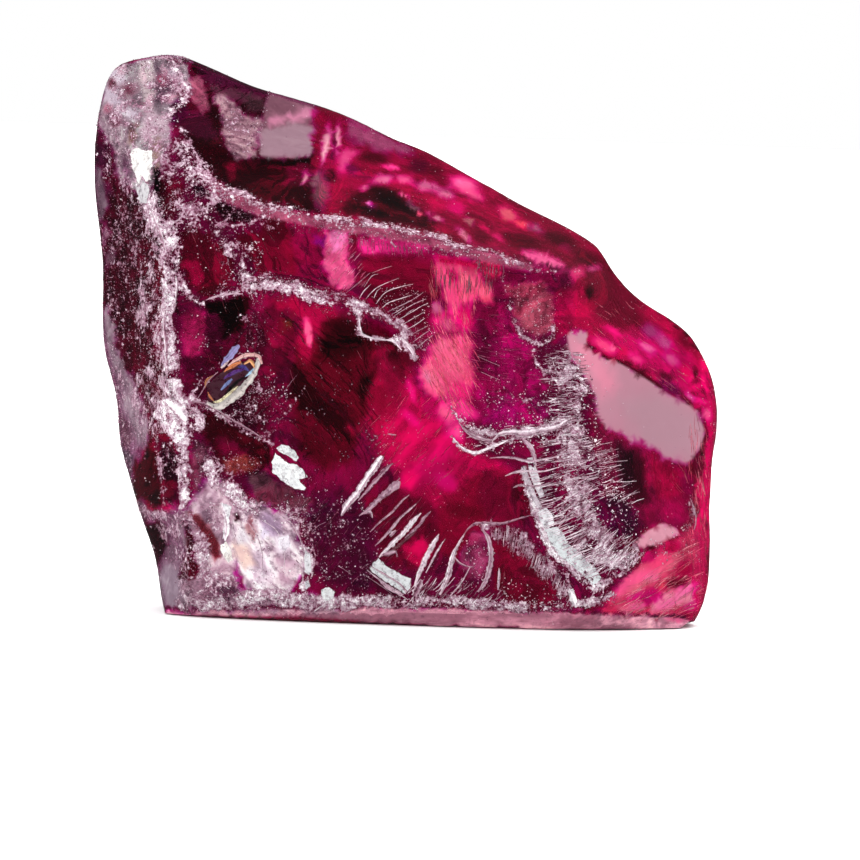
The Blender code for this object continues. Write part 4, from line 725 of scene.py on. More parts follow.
# Fine hackle lines, thinner than a blade: the line, its greatest width in pixels and its shade
LINES = {
    "fan_1": ([(346, 293), (357, 284), (370, 273)], 1.2, 0.65),
    "fan_2": ([(359, 299), (364, 291), (371, 284)], 1.2, 0.75),
    "fan_3": ([(366, 299), (372, 292), (380, 286), (399, 278)], 1.0, 0.75),
    "fan_4": ([(372, 273), (382, 269), (392, 266)], 0.6, 0.65),
    "fan_5": ([(376, 304), (381, 297), (388, 291), (400, 287), (413, 284)], 1.1, 0.85),
    "fan_6": ([(382, 308), (388, 303), (396, 300), (412, 295)], 1.1, 0.85),
    "fan_7": ([(388, 312), (400, 306), (412, 300), (424, 292)], 0.9, 0.75),
    "fan_8": ([(394, 316), (405, 309), (416, 303), (426, 299)], 0.9, 0.80),
    "fan_9": ([(398, 320), (410, 313), (420, 307), (428, 303)], 0.9, 0.75),
    "fan_10": ([(402, 325), (412, 319), (424, 312)], 0.9, 0.80),
    "fan_11": ([(406, 330), (415, 325), (425, 318)], 0.9, 0.80),
    "fan_12": ([(410, 336), (418, 331), (428, 326)], 0.9, 0.75),
    "fan_13": ([(413, 342), (421, 336), (430, 330)], 0.9, 0.70),
    "fan_14": ([(417, 348), (425, 341), (433, 335)], 0.9, 0.65),
    "fan_15": ([(374, 298), (377, 291), (381, 288)], 0.8, 0.85),
    "fan_16": ([(364, 287), (372, 276), (378, 274)], 0.9, 0.60),
    "fan_17": ([(392, 314), (398, 311), (404, 306)], 0.7, 0.75),
    "fan_18": ([(404, 317), (409, 312), (414, 309)], 0.7, 0.75),
    "low_1": ([(338, 566), (345, 570), (352, 575)], 0.9, 0.5),
    "low_2": ([(366, 576), (380, 585), (392, 594)], 0.9, 0.4),
    "low_3": ([(312, 532), (318, 526), (326, 522)], 1.0, 0.4),
    "low_4": ([(330, 600), (322, 606), (314, 611)], 2.2, 0.7),
    "low_5": ([(318, 580), (325, 576), (330, 580)], 1.0, 0.5),
    "dark_1": ([(284, 392), (291, 382), (298, 374)], 0.8, 0.35),
    "dark_2": ([(246, 402), (250, 392), (254, 384)], 0.8, 0.4),
    "right_1": ([(481, 372), (490, 376), (500, 380)], 0.9, 0.5),
    "right_2": ([(477, 356), (488, 361), (500, 366)], 0.9, 0.5),
    "rim_dots": ([(690, 498), (694, 508), (696, 520), (694, 530)], 1.4, 0.5),
    "dome_arc_1": ([(278, 514), (292, 524), (302, 544), (304, 564)], 1.5, 0.75),
    "dome_arc_2": ([(262, 520), (276, 530), (284, 548), (284, 570)], 1.1, 0.6),
    "dome_arc_3": ([(246, 520), (256, 534), (262, 552), (262, 572)], 1.1, 0.6),
    "dome_arc_4": ([(296, 560), (302, 570), (303, 584)], 3.0, 0.8),
}
# Bright flat chips: outline and shade
CHIPS = {
    "knob": ([(130, 150), (136, 147), (144, 150), (152, 150), (153, 166), (150, 172), (151, 180),
        (146, 182), (142, 176), (139, 186), (135, 176), (131, 164)], (226, 224, 220)),
    "knob_low": ([(135, 184), (139, 188), (143, 180), (148, 184), (150, 192), (147, 204), (140, 204)],
        (186, 182, 186)),
    "flake_upper": ([(276, 448), (282, 444), (289, 446), (296, 452), (299, 459), (296, 462), (288, 456),
        (281, 453)], (218, 222, 222)),
    "flake": ([(271, 462), (275, 452), (280, 456), (288, 463), (297, 464), (306, 472), (308, 478),
        (298, 480), (306, 488), (305, 491), (294, 489), (280, 480), (272, 472)], (228, 232, 232)),
    "facet": ([(372, 563), (378, 557), (385, 565), (397, 572), (412, 579), (411, 588), (406, 595),
        (392, 586), (378, 577), (369, 569)], (216, 220, 222)),
    "facet_low": ([(372, 574), (380, 579), (394, 588), (404, 595), (402, 597), (388, 590)], 0.5),
    "dot": ([(321, 590), (325, 587), (331, 588), (335, 592), (334, 598), (328, 601), (322, 599)],
        (226, 230, 230)),
    "cream": ([(220, 545), (226, 541), (231, 549), (233, 560), (228, 563), (222, 555)], (255, 248, 240)),
    "white_petal": ([(222, 502), (232, 506), (229, 518), (227, 534), (223, 540), (224, 522)],
        (226, 224, 228)),
    # A painted highlight on the dome, as a white chip
    "dome_highlight": ([(278, 537), (288, 535), (291, 545), (284, 552), (278, 547)], (236, 228, 238)),
    "dome_side": ([(305, 548), (311, 556), (312, 570), (309, 576), (305, 572), (304, 560)],
        (222, 222, 226)),
    "dome_side_low": ([(305, 582), (309, 580), (310, 586), (306, 590)], (214, 214, 220)),
}
# Rows of short hackle ribs from one line to the other: near line, far line, how many, width and shade
LADDERS = {
    "inner_arc": ([(491, 531), (505, 525), (518, 531), (530, 542), (543, 554), (555, 567), (563, 579),
        (571, 590)], [(490, 540), (506, 549), (520, 561), (533, 572), (544, 582), (553, 592), (560, 600),
        (566, 606)], 74, 1.1, 0.62),
    "spine_cross": ([(521, 474), (527, 492), (535, 510), (543, 528), (553, 544), (568, 562), (586, 580)],
        [(548, 468), (556, 484), (564, 500), (574, 514), (588, 528), (604, 546), (616, 566)],
        60, 1.2, 0.75),
    "painted_glow_upper": ([(436, 262), (450, 266), (464, 272), (480, 274), (494, 278)], [(436, 290), (448, 300),
        (462, 302), (474, 296), (492, 296)], 24, 1.1, 0.0),
    "orange": ([(476, 258), (490, 262), (504, 266)], [(476, 274), (490, 282), (503, 280)], 12, 1.1, 0.05),
    "strip": ([(358, 236), (384, 240), (428, 246)], [(360, 254), (386, 256), (430, 258)], 30, 0.8, 0.1),
}
# Smooth, nearly flat facets of the spine: outline and colour
FACETS = {
    "spine_bar": ([(527, 458), (532, 457), (537, 470), (541, 484), (545, 497), (540, 499), (534, 486),
        (529, 472)], (208, 204, 210)),
    "spine_bar_outer": ([(521, 466), (525, 466), (531, 482), (537, 498), (543, 508), (539, 511), (531, 498),
        (524, 482)], (196, 184, 194)),
    "spine_middle": ([(537, 512), (546, 507), (553, 515), (555, 524), (546, 529), (541, 524)],
        (222, 222, 226)),
    "spine_low": ([(544, 529), (556, 525), (563, 532), (566, 542), (576, 549), (587, 561), (597, 569),
        (602, 579), (594, 586), (585, 577), (572, 566), (559, 556), (550, 543)], (216, 222, 224)),
    "spine_foot": ([(568, 590), (573, 588), (577, 600), (574, 607), (569, 600)], (226, 222, 226)),
}
# Soft spots in groups: place, reach along and across, direction, colour. Most are painted light and shade,
# the glows and dark depths that refraction shows deep in the stone; the knob's are mostly its own greys, with
# a painted highlight.
SPOTS = {
    "knob": {
        "top_dark": (112, 84, 7, 5, 60, (132, 104, 118)),
        "side_brown": (128, 90, 7, 5, 90, (120, 90, 104)),
        "right_dark": (178, 62, 7, 4, 20, (74, 40, 58)),
        "right_low": (181, 92, 9, 5, 80, (96, 74, 92)),
        "middle_grey": (162, 80, 8, 6, 70, (150, 132, 148)),
        "foot_brown": (133, 128, 5, 4, 60, (112, 80, 70)),
        "left_low": (115, 120, 8, 5, 80, (128, 108, 124)),
        "left_mid": (108, 108, 6, 5, 80, (168, 152, 166)),
        "rib": (144, 76, 13, 3, 82, (222, 218, 218)),
        "rib_foot": (150, 102, 9, 4, 95, (208, 202, 208)),
        # A painted highlight on the knob's right
        "right_highlight": (164, 70, 7, 4, 70, (206, 200, 208)),
        "right_mid": (170, 98, 7, 5, 80, (200, 192, 202)),
        "left_light": (122, 70, 7, 5, 120, (206, 198, 206)),
    },
    "ribs": {
        "left": (326, 142, 24, 5.5, 98, (204, 136, 152)),
        "left_gleam": (325, 150, 14, 3, 100, (226, 160, 172)),
        "right": (338, 140, 22, 4.5, 93, (214, 130, 152)),
        "gap": (333, 150, 22, 2.4, 96, (130, 20, 56)),
        "foot": (322, 192, 24, 9, 98, (142, 106, 114)),
        "foot_left": (316, 180, 12, 6, 110, (160, 124, 132)),
        "dark": (332, 176, 8, 6, 60, (88, 8, 34)),
        "tear": (305, 178, 9, 3, 110, (214, 138, 156)),
    },
    "strip": {
        "rose_left": (345, 161, 18, 8, 110, (205, 49, 102)),
        "rose_top": (353, 153, 10, 5, 0, (200, 44, 95)),
        "maroon": (374, 158, 17, 7, 5, (118, 0, 38)),
        "plum": (353, 170, 9, 6, 20, (146, 12, 66)),
        "magenta": (365, 176, 9, 4, 10, (150, 0, 58)),
        "hot": (391, 167, 11, 3.4, 10, (255, 56, 132)),
        "lilac": (383, 179, 15, 6, -8, (204, 78, 126)),
        "rose": (365, 187, 8, 4, -20, (196, 60, 104)),
        "rose_middle": (405, 180, 11, 6, 10, (218, 61, 116)),
        "plum_right": (419, 166, 12, 8, 5, (122, 3, 48)),
        "plum_far": (434, 170, 11, 6, 5, (130, 0, 44)),
        "lilac_right": (428, 187, 18, 6, 8, (190, 58, 110)),
        "lilac_far": (446, 194, 12, 6, 20, (186, 60, 104)),
        "coral": (464, 184, 19, 10, 16, (255, 85, 142)),
        "coral_low": (472, 194, 16, 6, 20, (232, 66, 118)),
        "red_left": (350, 192, 9, 5, 0, (150, 0, 32)),
        "black_left": (384, 193, 15, 7, 25, (72, 0, 22)),
        "black": (396, 205, 22, 8, 18, (50, 0, 14)),
        "black_low": (372, 210, 20, 6, 12, (44, 0, 14)),
        "black_right": (424, 222, 18, 6, 22, (86, 0, 12)),
        "maroon_deep": (400, 214, 22, 6, 20, (84, 0, 12)),
        "violet": (371, 206, 9, 5, 20, (110, 0, 74)),
        "violet_gleam": (369, 204, 6, 2.6, 15, (240, 100, 196)),
        "gleam": (404, 195, 8, 3, 8, (238, 83, 134)),
        "beige": (413, 206, 10, 3.6, 32, (150, 70, 98)),
        "coral_dot": (419, 215, 5, 3.4, 20, (228, 61, 96)),
        "beige_right": (435, 217, 12, 4, 22, (196, 90, 120)),
        "crimson": (438, 205, 13, 8, 20, (180, 8, 64)),
        "crimson_right": (456, 208, 13, 8, 20, (196, 22, 80)),
        "red": (442, 229, 13, 5, 18, (166, 0, 34)),
        "beige_low": (464, 235, 13, 4, 48, (194, 83, 112)),
        "beige_far": (469, 222, 8, 3, 30, (176, 61, 84)),
        "crimson_far": (484, 228, 10, 4, 45, (204, 19, 74)),
        "hot_far": (500, 238, 10, 3.6, 28, (250, 48, 106)),
        "amber": (508, 214, 14, 8, 35, (208, 66, 88)),
        "amber_right": (521, 224, 11, 5, 20, (226, 54, 74)),
        "mauve": (534, 227, 9, 4, 20, (168, 75, 118)),
        "mauve_rose": (541, 233, 9, 3.4, 20, (204, 71, 112)),
        "deep": (522, 241, 24, 8, 12, (122, 0, 24)),
        "deep_left": (482, 237, 12, 7, 25, (138, 0, 30)),
        "deep_right": (558, 240, 22, 9, 20, (120, 0, 32)),
        "plum_end": (565, 247, 9, 4, 15, (160, 22, 64)),
        "deep_end": (586, 258, 18, 10, 20, (126, 0, 32)),
    },
    "bulge": {
        "dark": (590, 293, 9, 6, 90, (84, 0, 14)),
        "coral": (577, 273, 11, 7, -40, (226, 52, 102)),
        "rose_top": (594, 268, 10, 4, -20, (186, 43, 92)),
        "crimson": (613, 331, 14, 4, 28, (226, 29, 96)),
        "salmon": (603, 345, 17, 6, 33, (236, 52, 106)),
        "salmon_pale": (613, 349, 6, 3, 30, (255, 83, 136)),
        "wine": (624, 352, 8, 5, 30, (190, 13, 66)),
        "rose": (636, 358, 12, 5, 34, (212, 45, 100)),
        "lilac": (648, 348, 14, 5, 34, (218, 73, 132)),
        "dusty": (651, 331, 12, 8, 30, (168, 38, 86)),
        "dusty_low": (664, 342, 12, 7, 45, (180, 43, 94)),
        "rose_low": (672, 360, 12, 7, 35, (196, 48, 102)),
        "plum": (684, 340, 12, 6, 60, (150, 1, 42)),
        "shade": (643, 370, 9, 4, 30, (122, 0, 44)),
        "shade_right": (666, 376, 12, 4, 20, (132, 1, 50)),
        "violet": (670, 388, 15, 6, 32, (138, 1, 66)),
        "lilac_low": (690, 397, 9, 4, 30, (206, 64, 136)),
        "red": (686, 371, 8, 6, 80, (206, 0, 50)),
        "black": (696, 374, 9, 3, 80, (122, 0, 16)),
        "hot": (704, 366, 7, 5, 60, (246, 17, 72)),
        "hot_low": (702, 401, 8, 4, 20, (255, 31, 112)),
        "rose_end": (707, 414, 9, 6, 60, (236, 64, 122)),
    },
    "corner": {
        "coral": (640, 577, 26, 7, -22, (250, 75, 130)),
        "coral_pale": (652, 578, 9, 4, 0, (255, 95, 152)),
        "salmon": (660, 562, 17, 7, -25, (234, 52, 98)),
        "rose": (622, 590, 12, 6, -30, (240, 69, 126)),
        "magenta": (652, 596, 12, 8, -30, (184, 13, 84)),
        "wine": (636, 596, 12, 5, -20, (206, 30, 96)),
        "amber": (664, 585, 9, 4, -35, (232, 66, 78)),
        "maroon": (678, 583, 14, 5, -10, (140, 0, 30)),
        "maroon_top": (684, 570, 10, 8, -40, (176, 0, 48)),
        "lilac": (686, 590, 16, 7, -22, (250, 98, 164)),
        "lilac_low": (668, 604, 16, 6, -22, (240, 92, 152)),
        "rose_low": (636, 606, 13, 3.6, -8, (244, 84, 146)),
        "plum": (690, 606, 10, 5, -30, (196, 36, 92)),
        "red": (690, 614, 12, 3, -8, (170, 0, 40)),
        "foot": (676, 620, 12, 3, 0, (248, 94, 150)),
        "crimson_top": (672, 548, 10, 5, -20, (176, 6, 56)),
        "crimson_left": (648, 556, 10, 6, -30, (190, 22, 80)),
    },
    "glow": {
        "coral": (468, 281, 12, 9, 10, (250, 88, 122)),
        "coral_left": (440, 272, 16, 8, 80, (232, 56, 108)),
        "dusk": (453, 277, 8, 5, 70, (170, 10, 66)),
        "coral_low": (452, 300, 14, 9, 60, (238, 58, 112)),
        "rose_right": (486, 292, 10, 6, 20, (240, 76, 112)),
        "crimson": (466, 318, 12, 9, 60, (206, 0, 80)),
        "dusty": (437, 308, 8, 6, 60, (190, 66, 116)),
        "dusty_low": (447, 325, 9, 7, 40, (214, 70, 118)),
        "pale": (452, 362, 22, 15, 70, (255, 86, 130)),
        "pale_left": (432, 376, 20, 9, 60, (255, 92, 136)),
        "pale_top": (440, 346, 14, 9, -40, (250, 92, 134)),
        "lilac": (429, 376, 8, 4, 60, (226, 112, 156)),
        "crimson_low": (462, 392, 14, 10, 20, (226, 38, 98)),
        "plum": (430, 408, 14, 8, 60, (168, 0, 70)),
        "tail": (446, 414, 12, 6, 40, (240, 70, 122)),
        "tail_low": (458, 432, 12, 6, 80, (244, 56, 124)),
        "streak": (412, 392, 16, 4, 70, (228, 30, 102)),
        "streak_low": (410, 418, 16, 6, 40, (222, 20, 96)),
        "hot": (408, 480, 14, 10, -40, (226, 0, 82)),
        "hot_right": (446, 482, 16, 10, 30, (196, 0, 84)),
        "dusk_low": (466, 512, 22, 9, 10, (112, 0, 22)),
        "red": (350, 430, 10, 5, 40, (140, 8, 30)),
        "red_left": (372, 398, 12, 5, -60, (128, 0, 26)),
        "rust": (384, 352, 14, 6, -20, (132, 6, 38)),
        "between": (420, 548, 12, 6, -30, (208, 14, 70)),
        "arch": (474, 540, 8, 6, -40, (164, 36, 76)),
    },
}
# Painted strokes: the line, its width in pixels and its colour. The dark strokes at the scoop's foot, in the
# crevice and in the slits, and the spine and foot shades, are painted shade in creases and along edges
STROKES = {
    "facet_top": ([(589, 345), (600, 354), (612, 359), (630, 366), (640, 374), (654, 382), (662, 389)], 3.6,
        (112, 2, 36)),
    # Painted shade at the foot of the scoop, in the crevice and in the slits of the ridge
    "scoop_foot_shade": ([(262, 162), (286, 164), (310, 160)], 4, (44, 4, 16)),
    "crevice_shade": ([(175, 258), (177, 276), (176, 294), (178, 312)], 3, (50, 6, 22)),
    "slit_shade_upper": ([(157, 171), (157, 180), (157, 191)], 5, (24, 0, 6)),
    "slit_shade_lower": ([(148, 199), (154, 216), (158, 232), (158, 256)], 3.6, (48, 4, 20)),
    "spine_shade": ([(527, 486), (532, 500), (538, 514), (546, 532)], 2.6, (120, 70, 96)),
    "foot_shade": ([(372, 580), (384, 588), (398, 597)], 2.6, (90, 30, 52)),
    "strip_top": ([(438, 258), (456, 262), (474, 266), (498, 270)], 5, (176, 4, 40)),
    "bevel_top": ([(150, 609), (300, 607), (420, 606), (560, 612), (690, 617)], 3, (120, 30, 58)),
}
# Windows of clear stone left open in the frost
FROST_HOLES = {
    "field_1": [(538, 384), (556, 382), (558, 392), (546, 399), (538, 398)],
    "field_2": [(583, 394), (591, 393), (597, 414), (604, 432), (598, 440), (586, 430), (581, 412)],
    "field_3": [(545, 446), (559, 443), (560, 451), (547, 455)],
    "field_4": [(544, 488), (566, 486), (567, 492), (556, 499), (545, 500)],
    "field_5": [(561, 526), (566, 522), (584, 518), (580, 527), (568, 538)],
    "field_6": [(579, 551), (586, 558), (592, 552), (598, 542), (593, 538), (584, 546)],
    "field_7": [(538, 470), (560, 462), (562, 468), (542, 478)],
    "field_8": [(601, 498), (618, 498), (640, 512), (644, 530), (620, 536), (604, 524), (594, 510)],
    "step_chip": [(364, 314), (378, 318), (398, 328), (400, 336), (384, 338), (366, 334)],
    "star_dark": [(196, 430), (206, 430), (214, 448), (200, 446)],
}
# Bright specks sprinkled on the faces: outline, how many, smallest and largest in pixels, shade
SPRINKLES = {
    "low_left": ([(300, 494), (350, 486), (374, 520), (380, 560), (368, 592), (326, 584), (308, 560)], 260,
        (0.8, 2.2), 0.8),
    "lower_wedge": ([(262, 500), (300, 492), (316, 530), (312, 560), (300, 530)], 90, (0.8, 2.2), 0.8),
    "fan": ([(372, 300), (392, 282), (430, 290), (440, 340), (418, 350)], 260, (0.6, 1.5), 0.7),
    "loop": ([(506, 284), (556, 284), (560, 330), (540, 344), (514, 326)], 150, (0.7, 1.8), 0.65),
    "purple": ([(484, 310), (520, 320), (550, 372), (530, 400), (484, 410)], 80, (0.8, 2.0), 0.7),
    "purple_low": ([(480, 392), (550, 392), (556, 428), (490, 430)], 140, (0.8, 2.2), 0.75),
    "beside_lens": ([(240, 384), (270, 370), (296, 392), (264, 434), (226, 414)], 130, (0.8, 2.2), 0.75),
    "above_lens": ([(190, 310), (260, 300), (270, 350), (210, 390), (186, 380)], 90, (0.8, 2.0), 0.7),
    "dark_middle": ([(300, 380), (350, 360), (360, 440), (350, 470), (310, 450)], 60, (0.8, 2.0), 0.55),
    "glow_foot": ([(364, 430), (400, 420), (392, 470), (370, 470)], 60, (0.8, 1.8), 0.6),
    "arch": ([(462, 540), (488, 536), (488, 590), (460, 592)], 110, (0.8, 2.0), 0.7),
    "foot_dark": ([(498, 580), (560, 590), (572, 604), (500, 606)], 110, (0.9, 2.4), 0.75),
    "diagonal": ([(200, 200), (262, 236), (262, 284), (234, 290), (206, 240)], 130, (0.8, 2.4), 0.8),
    "window": ([(180, 234), (206, 232), (232, 262), (226, 290), (190, 288)], 24, (0.8, 1.8), 0.75),
    "dome": ([(240, 506), (286, 516), (304, 560), (290, 590), (250, 588), (236, 540)], 150, (0.8, 2.4),
        0.95),
    "knob": ([(104, 100), (112, 66), (143, 54), (184, 56), (186, 100), (164, 160), (130, 190)], 260,
        (0.8, 2.2), 0.8),
    "scoop": ([(214, 96), (262, 118), (258, 158), (230, 156)], 120, (0.9, 2.2), 0.5),
    "field": ([(536, 352), (590, 360), (600, 440), (636, 520), (640, 560), (600, 590), (556, 540),
        (540, 470)], 900, (0.8, 2.6), 0.85),
    "field_purple": ([(584, 440), (606, 436), (640, 500), (640, 540), (610, 520)], 130, (0.8, 1.8), 0.7),
    "crack": ([(446, 400), (480, 424), (566, 412), (566, 440), (470, 456)], 300, (0.8, 2.4), 0.85),
    "triangle": ([(220, 450), (262, 456), (256, 474), (226, 474)], 60, (0.8, 1.8), 0.7),
    "right_low": ([(640, 545), (690, 520), (700, 560), (650, 566)], 90, (0.8, 2.2), 0.65),
    "left_face": ([(100, 170), (146, 210), (160, 300), (152, 420), (110, 350)], 300, (0.8, 2.6), 0.55),
    "upper_band": ([(340, 216), (440, 240), (520, 262), (440, 256), (340, 234)], 170, (0.8, 2.0), 0.8),
}
# Webs of fine hackle ribs: outline, how many, shortest and longest, greatest width in pixels
WEBS = {
    "upper": ([(546, 352), (580, 350), (590, 392), (580, 400), (584, 440), (560, 440), (546, 400)], 260,
        (5, 15), 1.1),
    "middle": ([(542, 440), (596, 440), (606, 470), (590, 500), (556, 506), (540, 476)], 280, (5, 17), 1.2),
    "low": ([(556, 506), (592, 496), (604, 526), (636, 540), (634, 566), (600, 572), (578, 548),
        (560, 524)], 330, (4, 14), 1.3),
    "right": ([(590, 440), (604, 440), (640, 500), (634, 534), (606, 524), (592, 492)], 110, (6, 22), 0.9),
    "foot": ([(396, 584), (440, 578), (500, 588), (506, 602), (396, 602)], 110, (5, 14), 1.2),
    "crack": ([(470, 430), (566, 418), (566, 436), (500, 446), (472, 446)], 90, (4, 11), 1.2),
}
# The ribs' direction in degrees at heights of the picture
WEB_HEIGHTS = (350, 430, 480, 520, 560)
WEB_DIRECTIONS = (2, -8, -18, -36, -46)
# Fine streaks of painted light and shade, as refraction streaks the glows and the darker faces: outline, count,
# (shortest, longest), width, direction in degrees and their colours
STREAKS = {
    "glow_top": ([(432, 262), (480, 270), (494, 290), (476, 300), (470, 330), (436, 320), (428, 290)], 180,
        (7, 20), 1.7, 80, ((240, 96, 120), (180, 12, 52), (226, 60, 90), (206, 26, 70))),
    "glow_middle": ([(436, 320), (474, 330), (478, 380), (470, 420), (440, 400), (420, 370)], 280, (7, 22),
        1.9, 62, ((244, 84, 118), (214, 36, 84), (228, 50, 96), (196, 20, 70), (250, 104, 132))),
    "glow_low": ([(370, 400), (440, 380), (480, 430), (440, 490), (390, 480), (350, 440)], 70, (8, 20),
        1.8, -52, ((206, 14, 72), (160, 4, 44), (226, 40, 96), (132, 2, 34))),
    "pillar": ([(324, 232), (352, 231), (358, 256), (366, 286), (346, 290), (326, 262)], 90, (5, 13),
        1.5, -48, ((250, 150, 186), (206, 34, 92), (240, 100, 150), (172, 12, 62))),
    "bulge": ([(596, 300), (640, 300), (700, 366), (712, 410), (690, 410), (640, 362), (596, 336)], 40,
        (6, 14), 1.2, 38, ((190, 40, 74), (160, 14, 46), (200, 60, 90), (128, 8, 34))),
    "lower_right": ([(616, 606), (640, 580), (692, 540), (702, 600), (690, 618), (630, 618)], 130, (8, 26),
        1.8, -30, ((238, 130, 150), (190, 34, 72), (224, 90, 116), (206, 60, 94))),
    "strip_right": ([(690, 420), (706, 420), (708, 540), (692, 530), (684, 470)], 60, (8, 20), 1.4, 84,
        ((214, 40, 84), (150, 6, 36), (232, 90, 116))),
    "purple": ([(480, 300), (550, 350), (560, 420), (500, 420), (470, 360)], 110, (6, 18), 1.2, 10,
        ((150, 50, 92), (96, 8, 44), (128, 24, 66), (176, 84, 118))),
    "left_dark": ([(190, 230), (330, 240), (400, 330), (360, 420), (300, 470), (210, 440)], 150, (6, 20),
        1.2, 60, ((120, 8, 36), (60, 4, 16), (160, 20, 60), (96, 4, 26))),
    "low_dark": ([(300, 470), (420, 500), (440, 580), (330, 590), (296, 520)], 100, (6, 18), 1.2, -50,
        ((130, 20, 60), (60, 4, 26), (160, 70, 100))),
}

# ---------------------------------------------------------------------------------------------------
# The sides and the back, which the photograph doesn't show. A place here is a pixel of the same camera
# turned about the stone by so many degrees.
# ---------------------------------------------------------------------------------------------------
# The tones of the hidden faces, painted light and shade as refraction through broken stone shows it: a step
# from 0 to 1 along the scale, the colour and how cloudy it is
SHARD_TONES = {
    "black_wine": (0.0, (60, 6, 18), 0.1),
    "wine": (0.2, (100, 8, 28), 0.15),
    "plum": (0.38, (134, 16, 46), 0.25),
    "crimson": (0.55, (178, 12, 48), 0.25),
    "raspberry": (0.72, (198, 26, 68), 0.35),
    "magenta": (0.86, (212, 48, 92), 0.5),
    "pink": (0.95, (228, 120, 148), 0.7),
    "lilac": (1.0, (200, 164, 178), 0.8),
}
SHARD_SHAPE = np.array((1.0, 1.0, 0.4))  # shards are drawn out upwards
SHARD_EDGE = 0.10  # how far the tones of two shards run into each other
SHARD_LAYERS = ((0.45, 2.4, 21.0), (0.35, 0.9, 4.0), (0.20, 0.35, 33.0))  # share, size in mm, seed
# Zones of a side, by its turn: outline, colour, softness, share of cloudy body, mottling, as for the front.
# The back's are painted light and shade: a painted reflection of soft light on a smooth facet, a glow, and
# shade.
SIDE_ZONES = {
    180: {
        # Painted reflection of soft light on a smooth facet of the back, warmer in its middle
        "mirror": (((166, 352), (240, 318), (262, 310), (330, 378), (290, 420), (214, 432), (172, 420)),
            (184, 134, 152), 1.4, 0.75, 0.3),
        "mirror_warm": (((240, 330), (264, 318), (322, 376), (290, 404), (256, 372)), (196, 96, 124),
            9, 0.6, 0.4),
        # Painted shade in the hollow and the dusk, and a painted glow of light through the stone
        "dark_hollow": (((352, 398), (470, 505), (452, 612), (312, 606), (330, 480)), (84, 8, 28),
            14, 0.15, 0.5),
        "glow": (((520, 330), (580, 318), (600, 400), (560, 480), (505, 470)), (206, 30, 72), 12, 0.4, 0.7),
        "dusk": (((300, 250), (420, 200), (470, 250), (440, 330), (340, 350)), (112, 12, 40), 12, 0.2, 0.5),
    },
}
# Ribs that spread from a point: turn, point, angles, reach, count, lengths, width, shade
FANS = {
    "back_comb": (180, (770, 330), (165, 196), (80, 150), 60, (8, 24), 1.2, 0.8),
    "back_foot": (180, (520, 760), (-112, -72), (150, 205), 44, (8, 22), 1.1, 0.7),
    "left_fan": (270, (420, 300), (150, 200), (60, 120), 40, (8, 22), 1.1, 0.7),
}
# Rows of short ribs: turn, near line, far line, how many, width and shade
SIDE_LADDERS = {
    "back_comb": (180, ((352, 400), (380, 436), (420, 468), (470, 502)), ((326, 424), (346, 486),
        (388, 528), (440, 552)), 44, 1.5, 0.45),
    "back_arc": (180, ((604, 336), (624, 364), (634, 400), (630, 440), (616, 478)), ((642, 318), (668, 356),
        (678, 402), (670, 448), (646, 492)), 40, 1.4, 0.5),
    "back_top": (180, ((452, 180), (500, 166), (560, 152)), ((460, 214), (514, 206), (580, 190)),
        26, 1.3, 0.42),
    "back_low": (180, ((510, 524), (560, 546), (620, 560)), ((504, 560), (552, 590), (606, 600)),
        28, 1.3, 0.45),
    "left_comb": (270, ((300, 320), (306, 390), (298, 470)), ((262, 326), (266, 392), (256, 476)),
        30, 1.4, 0.5),
}
# Ripples of the shell-like breaks: turn, middle, angles, reach, wavelength in pixels and height in mm
RIPPLES = {
    "back_left": (180, (345, 388), (15, 100), (60, 260), 19, 0.010),
    "back_upper": (180, (560, 60), (80, 150), (60, 300), 24, 0.010),
    "back_right": (180, (760, 330), (120, 240), (60, 240), 17, 0.010),
    "left_face": (270, (560, 300), (130, 230), (80, 330), 26, 0.008),
    "right_face": (90, (420, 60), (50, 120), (120, 420), 28, 0.008),
}
# Chips: turn, outline and shade
SIDE_CHIPS = {
    "back_junction": (180, ((334, 384), (340, 376), (348, 378), (356, 374), (360, 382), (354, 388),
        (357, 395), (347, 399), (342, 392)), 0.55),
    "back_low": (180, ((496, 512), (503, 505), (512, 508), (519, 503), (523, 511), (519, 520), (524, 527),
        (512, 531), (505, 523)), 0.55),
    "back_top": (180, ((690, 92), (706, 82), (724, 84), (728, 92), (714, 96), (704, 104), (692, 102)), 0.5),
    "back_foot": (180, ((300, 608), (318, 602), (334, 606), (344, 616), (322, 618), (304, 617)), 0.55),
    "left_low": (270, ((262, 560), (272, 552), (278, 566), (274, 584), (264, 592), (260, 576)), 0.5),
}
# Fine lines: turn, line, greatest width and shade
SIDE_LINES = {
    "back_crack": (180, ((350, 392), (366, 416), (392, 436), (414, 466), (440, 482), (464, 506),
        (482, 512)), 2.2, 0.7),
    "back_arc": (180, ((600, 330), (622, 362), (634, 400), (632, 440), (618, 476)), 2.0, 0.7),
    "back_vein": (180, ((560, 220), (548, 262), (556, 300), (540, 340), (546, 372)), 1.4, 0.5),
    "left_vein": (270, ((240, 240), (262, 290), (258, 340), (276, 400)), 1.5, 0.55),
}
# Specks: turn, outline, how many, smallest and largest, shade
SIDE_SPRINKLES = {
    "back_all": (180, ((180, 340), (560, 150), (760, 110), (740, 420), (680, 610), (170, 600)), 700,
        (0.5, 2.6), 0.7),
    "left_all": (270, ((200, 300), (300, 120), (390, 80), (500, 300), (520, 600), (240, 610)), 500,
        (0.5, 2.6), 0.7),
}
